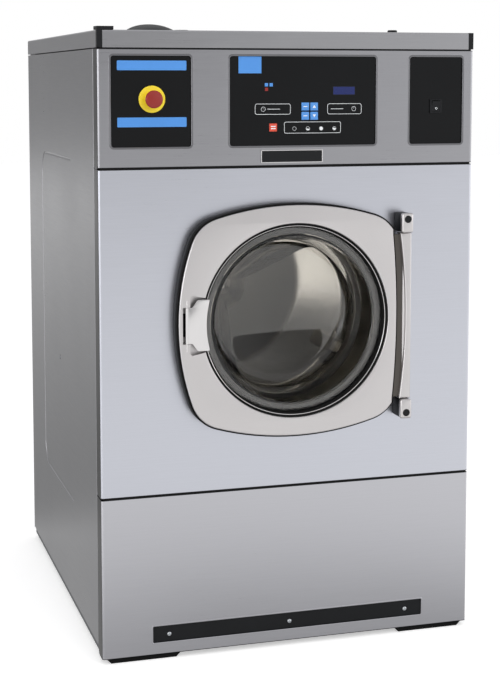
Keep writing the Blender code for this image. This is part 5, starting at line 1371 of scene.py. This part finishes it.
class WASHER_OT_stage(bpy.types.Operator):
    """Set up the floor, the studio light and the camera"""

    bl_idname = "washer.stage"
    bl_label = "Stage"

    def execute(self, context):
        studio = context.scene.washer_studio
        self.make_floor()
        self.make_room(studio.sky)
        lamp("front light", studio.key, (0.9, -3.2, 2.3), (0, 0, 0.7), 2.6, 2.2)
        lamp("left light", studio.fill, (-2.9, -1.4, 1.5), (0, 0, 0.8), 0.9, 2.4)
        lamp("top light", studio.top, (0.0, -0.4, 3.4), (0, 0, 0.5), 2.6, 2.6)
        view = bpy.data.cameras.new("photo camera")
        view.lens = CAMERA_LENS
        view.shift_x, view.shift_y = CAMERA_SHIFT
        camera = linked(view, "photo camera")
        camera.location = CAMERA_PLACE
        camera.rotation_euler = (QUARTER_TURN - math.radians(CAMERA_PITCH), 0, -math.radians(CAMERA_YAW))
        context.scene.camera = camera
        context.scene.view_settings.view_transform = "Standard"
        return {"FINISHED"}

    def make_floor(self):
        """Lay a wide pale floor that the camera sees as nearly white."""
        shape = bmesh.new()
        bmesh.ops.create_grid(shape, x_segments=1, y_segments=1, size=20)
        mesh = mesh_of(shape, "studio floor")
        floor = linked(mesh, "studio_floor")
        floor.location.z = -0.0002
        material = surface("matt floor paint", colours().floor, 8, 0.01, (0.7, 0.8), 0.0, 900)
        tree = material.node_tree
        principled = tree.nodes["Principled BSDF"]
        rays = node(tree, "LightPath")
        strength = node(tree, "Math", rays.outputs["Is Camera Ray"], 0.5, operation="MULTIPLY")
        glow = node(tree, "Emission", WHITE, strength)
        seen = node(tree, "AddShader", principled, glow)
        spot = node(tree, "SeparateXYZ", node(tree, "TexCoord").outputs["Object"])
        place = node(tree, "CombineXYZ", spot.outputs["X"], spot.outputs["Y"])
        away = node(tree, "VectorMath", place, operation="LENGTH")
        full = 1.12
        # A value, its two limits, and what it is turned to at each of them
        slopes = (
            (away.outputs["Value"], 0.50, 1.75, 0.55, full),
            (spot.outputs["Y"], -0.2, 0.9, 0.0, 0.66),
            (spot.outputs["X"], 1.4, 0.2, 0.0, 1.0),
        )
        eased = [node(tree, "MapRange", *slope, interpolation_type="SMOOTHSTEP") for slope in slopes]
        # The first row is painted shadow: the floor that metal mirrors grows darker towards the washer's
        # base.
        near, behind, left = eased
        dim = node(tree, "Math", behind, left, operation="MULTIPLY")
        fade = {"From Min": 1.5, "From Max": 12.0, "To Min": 1.08, "To Max": 0.25}
        far = node(tree, "MapRange", {"Value": away.outputs["Value"], **fade})
        dark = node(tree, "Math", dim, far, operation="MULTIPLY")
        rest = node(tree, "Math", full, dark, operation="SUBTRACT")
        level = node(tree, "Math", near, rest, operation="MINIMUM")
        mirrored = node(tree, "Emission", WHITE, level)
        warm, bright = (1, 0.98, 0.95, 1), 1.75
        through = node(tree, "Emission", warm, bright)
        metal = node(tree, "MixShader", rays.outputs["Is Glossy Ray"], seen, mirrored)
        shown = node(tree, "MixShader", rays.outputs["Is Transmission Ray"], metal, through)
        tree.links.new(shown.outputs[0], tree.nodes["Material Output"].inputs["Surface"])
        mesh.materials.append(material)

    def make_room(self, level):
        """Light the room evenly, show it white, and mirror soft boxes and dark screens in metal."""
        world = bpy.data.worlds.new("studio room")
        bpy.context.scene.world = world
        world.use_nodes = True
        tree = world.node_tree
        tree.nodes.clear()
        parts = node(tree, "SeparateXYZ", node(tree, "TexCoord").outputs["Generated"])
        ahead = node(tree, "Math", parts.outputs["Y"], -1.0, operation="MULTIPLY")
        turn = node(tree, "Math", parts.outputs["X"], ahead, operation="ARCTAN2")
        share = node(tree, "MapRange", {"Value": turn, "From Min": -HALF_TURN, "From Max": HALF_TURN})
        ramp = node(tree, "ValToRGB", share)
        # Share of a turn round the room, with the front in the middle, and how bright it is there
        stops = (
            (0.0, 0.15), (0.06, 0.16), (0.085, 0.02), (0.175, 0.02), (0.20, 1.0), (0.39, 1.0), (0.45, 0.15),
            (0.53, 0.135), (0.62, 0.5), (0.70, 0.8), (0.80, 0.8), (0.84, 0.02), (0.90, 0.08), (0.96, 0.13),
            (1.0, 0.15))
        elements = ramp.color_ramp.elements
        while len(elements) < len(stops):
            elements.new(0.5)
        for element, (position, value) in zip(elements, stops):
            element.position = position
            element.color = (value, value, value * 1.01, 1)
        band = {"Value": parts.outputs["Z"], "From Min": 0.12, "From Max": 0.34}
        above = node(tree, "MapRange", band, interpolation_type="SMOOTHSTEP")
        around = node(tree, "Mix", {0: above, 6: ramp, 7: (0.17, 0.17, 0.172, 1)}, data_type="RGBA")
        height = node(tree, "ValToRGB", parts.outputs["Z"])
        elements = height.color_ramp.elements
        elements.new(0.3)
        elements.new(0.7)
        # Height, from level to straight up, and the share of that brightness
        levels = ((0.02, 0.50), (0.25, 0.85), (0.6, 1.0), (1.0, 0.9))
        for element, (position, value) in zip(elements, levels):
            element.position = position
            element.color = (value, value, value, 1)
        rays = node(tree, "LightPath")
        even = node(tree, "Background", WHITE, level)
        brightness, through_glass = 5.2, 0.10
        strength = node(tree, "Math", height, brightness, operation="MULTIPLY")
        glossy, glass = rays.outputs["Is Glossy Ray"], rays.outputs["Is Transmission Ray"]
        glazed = node(tree, "MapRange", {"Value": glass, "To Min": 1.0, "To Max": through_glass})
        dimmed = node(tree, "Math", strength, glazed, operation="MULTIPLY")
        mirrored = node(tree, "Background", around.outputs[2], dimmed)
        white = node(tree, "Background", WHITE, 1.0)
        shiny = node(tree, "Math", glossy, glass, operation="MAXIMUM")
        first = node(tree, "MixShader", shiny, even, mirrored)
        second = node(tree, "MixShader", rays.outputs["Is Camera Ray"], first, white)
        node(tree, "OutputWorld", second)


OPERATORS = (
    WASHER_OT_sheet_metal, WASHER_OT_sides, WASHER_OT_fascia, WASHER_OT_emergency_stop, WASHER_OT_keys,
    WASHER_OT_power_switch, WASHER_OT_door, WASHER_OT_handle, WASHER_OT_hinge, WASHER_OT_drum, WASHER_OT_lid,
    WASHER_OT_rear, WASHER_OT_works, WASHER_OT_stage)


class WASHER_PT_panel(bpy.types.Panel):
    """Lists the washer's settings and makers"""

    bl_idname = "WASHER_PT_panel"
    bl_label = "Washer extractor"
    bl_space_type = "VIEW_3D"
    bl_region_type = "UI"
    bl_category = "Washer"

    def draw(self, context):
        layout = self.layout
        for maker in OPERATORS:
            layout.operator(maker.bl_idname)
        for group in (context.scene.washer_colours, context.scene.washer_sizes, context.scene.washer_studio):
            column = layout.box().column()
            for name in group.__annotations__:
                column.prop(group, name)


GROUPS = (("washer_colours", WasherColours), ("washer_sizes", WasherSizes), ("washer_studio", WasherStudio))


def register():
    """Register the settings, the operators and the panel."""
    for name, group in GROUPS:
        bpy.utils.register_class(group)
        setattr(bpy.types.Scene, name, PointerProperty(type=group))
    for maker in OPERATORS + (WASHER_PT_panel,):
        bpy.utils.register_class(maker)


def unregister():
    """Take the panel, the operators and the settings away again."""
    for maker in (WASHER_PT_panel,) + OPERATORS[::-1]:
        bpy.utils.unregister_class(maker)
    for name, group in GROUPS:
        delattr(bpy.types.Scene, name)
        bpy.utils.unregister_class(group)


def main():
    """Register the add-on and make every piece."""
    register()
    for maker in OPERATORS:
        group, name = maker.bl_idname.split(".")
        getattr(getattr(bpy.ops, group), name)()


if __name__ == "__main__":
    main()
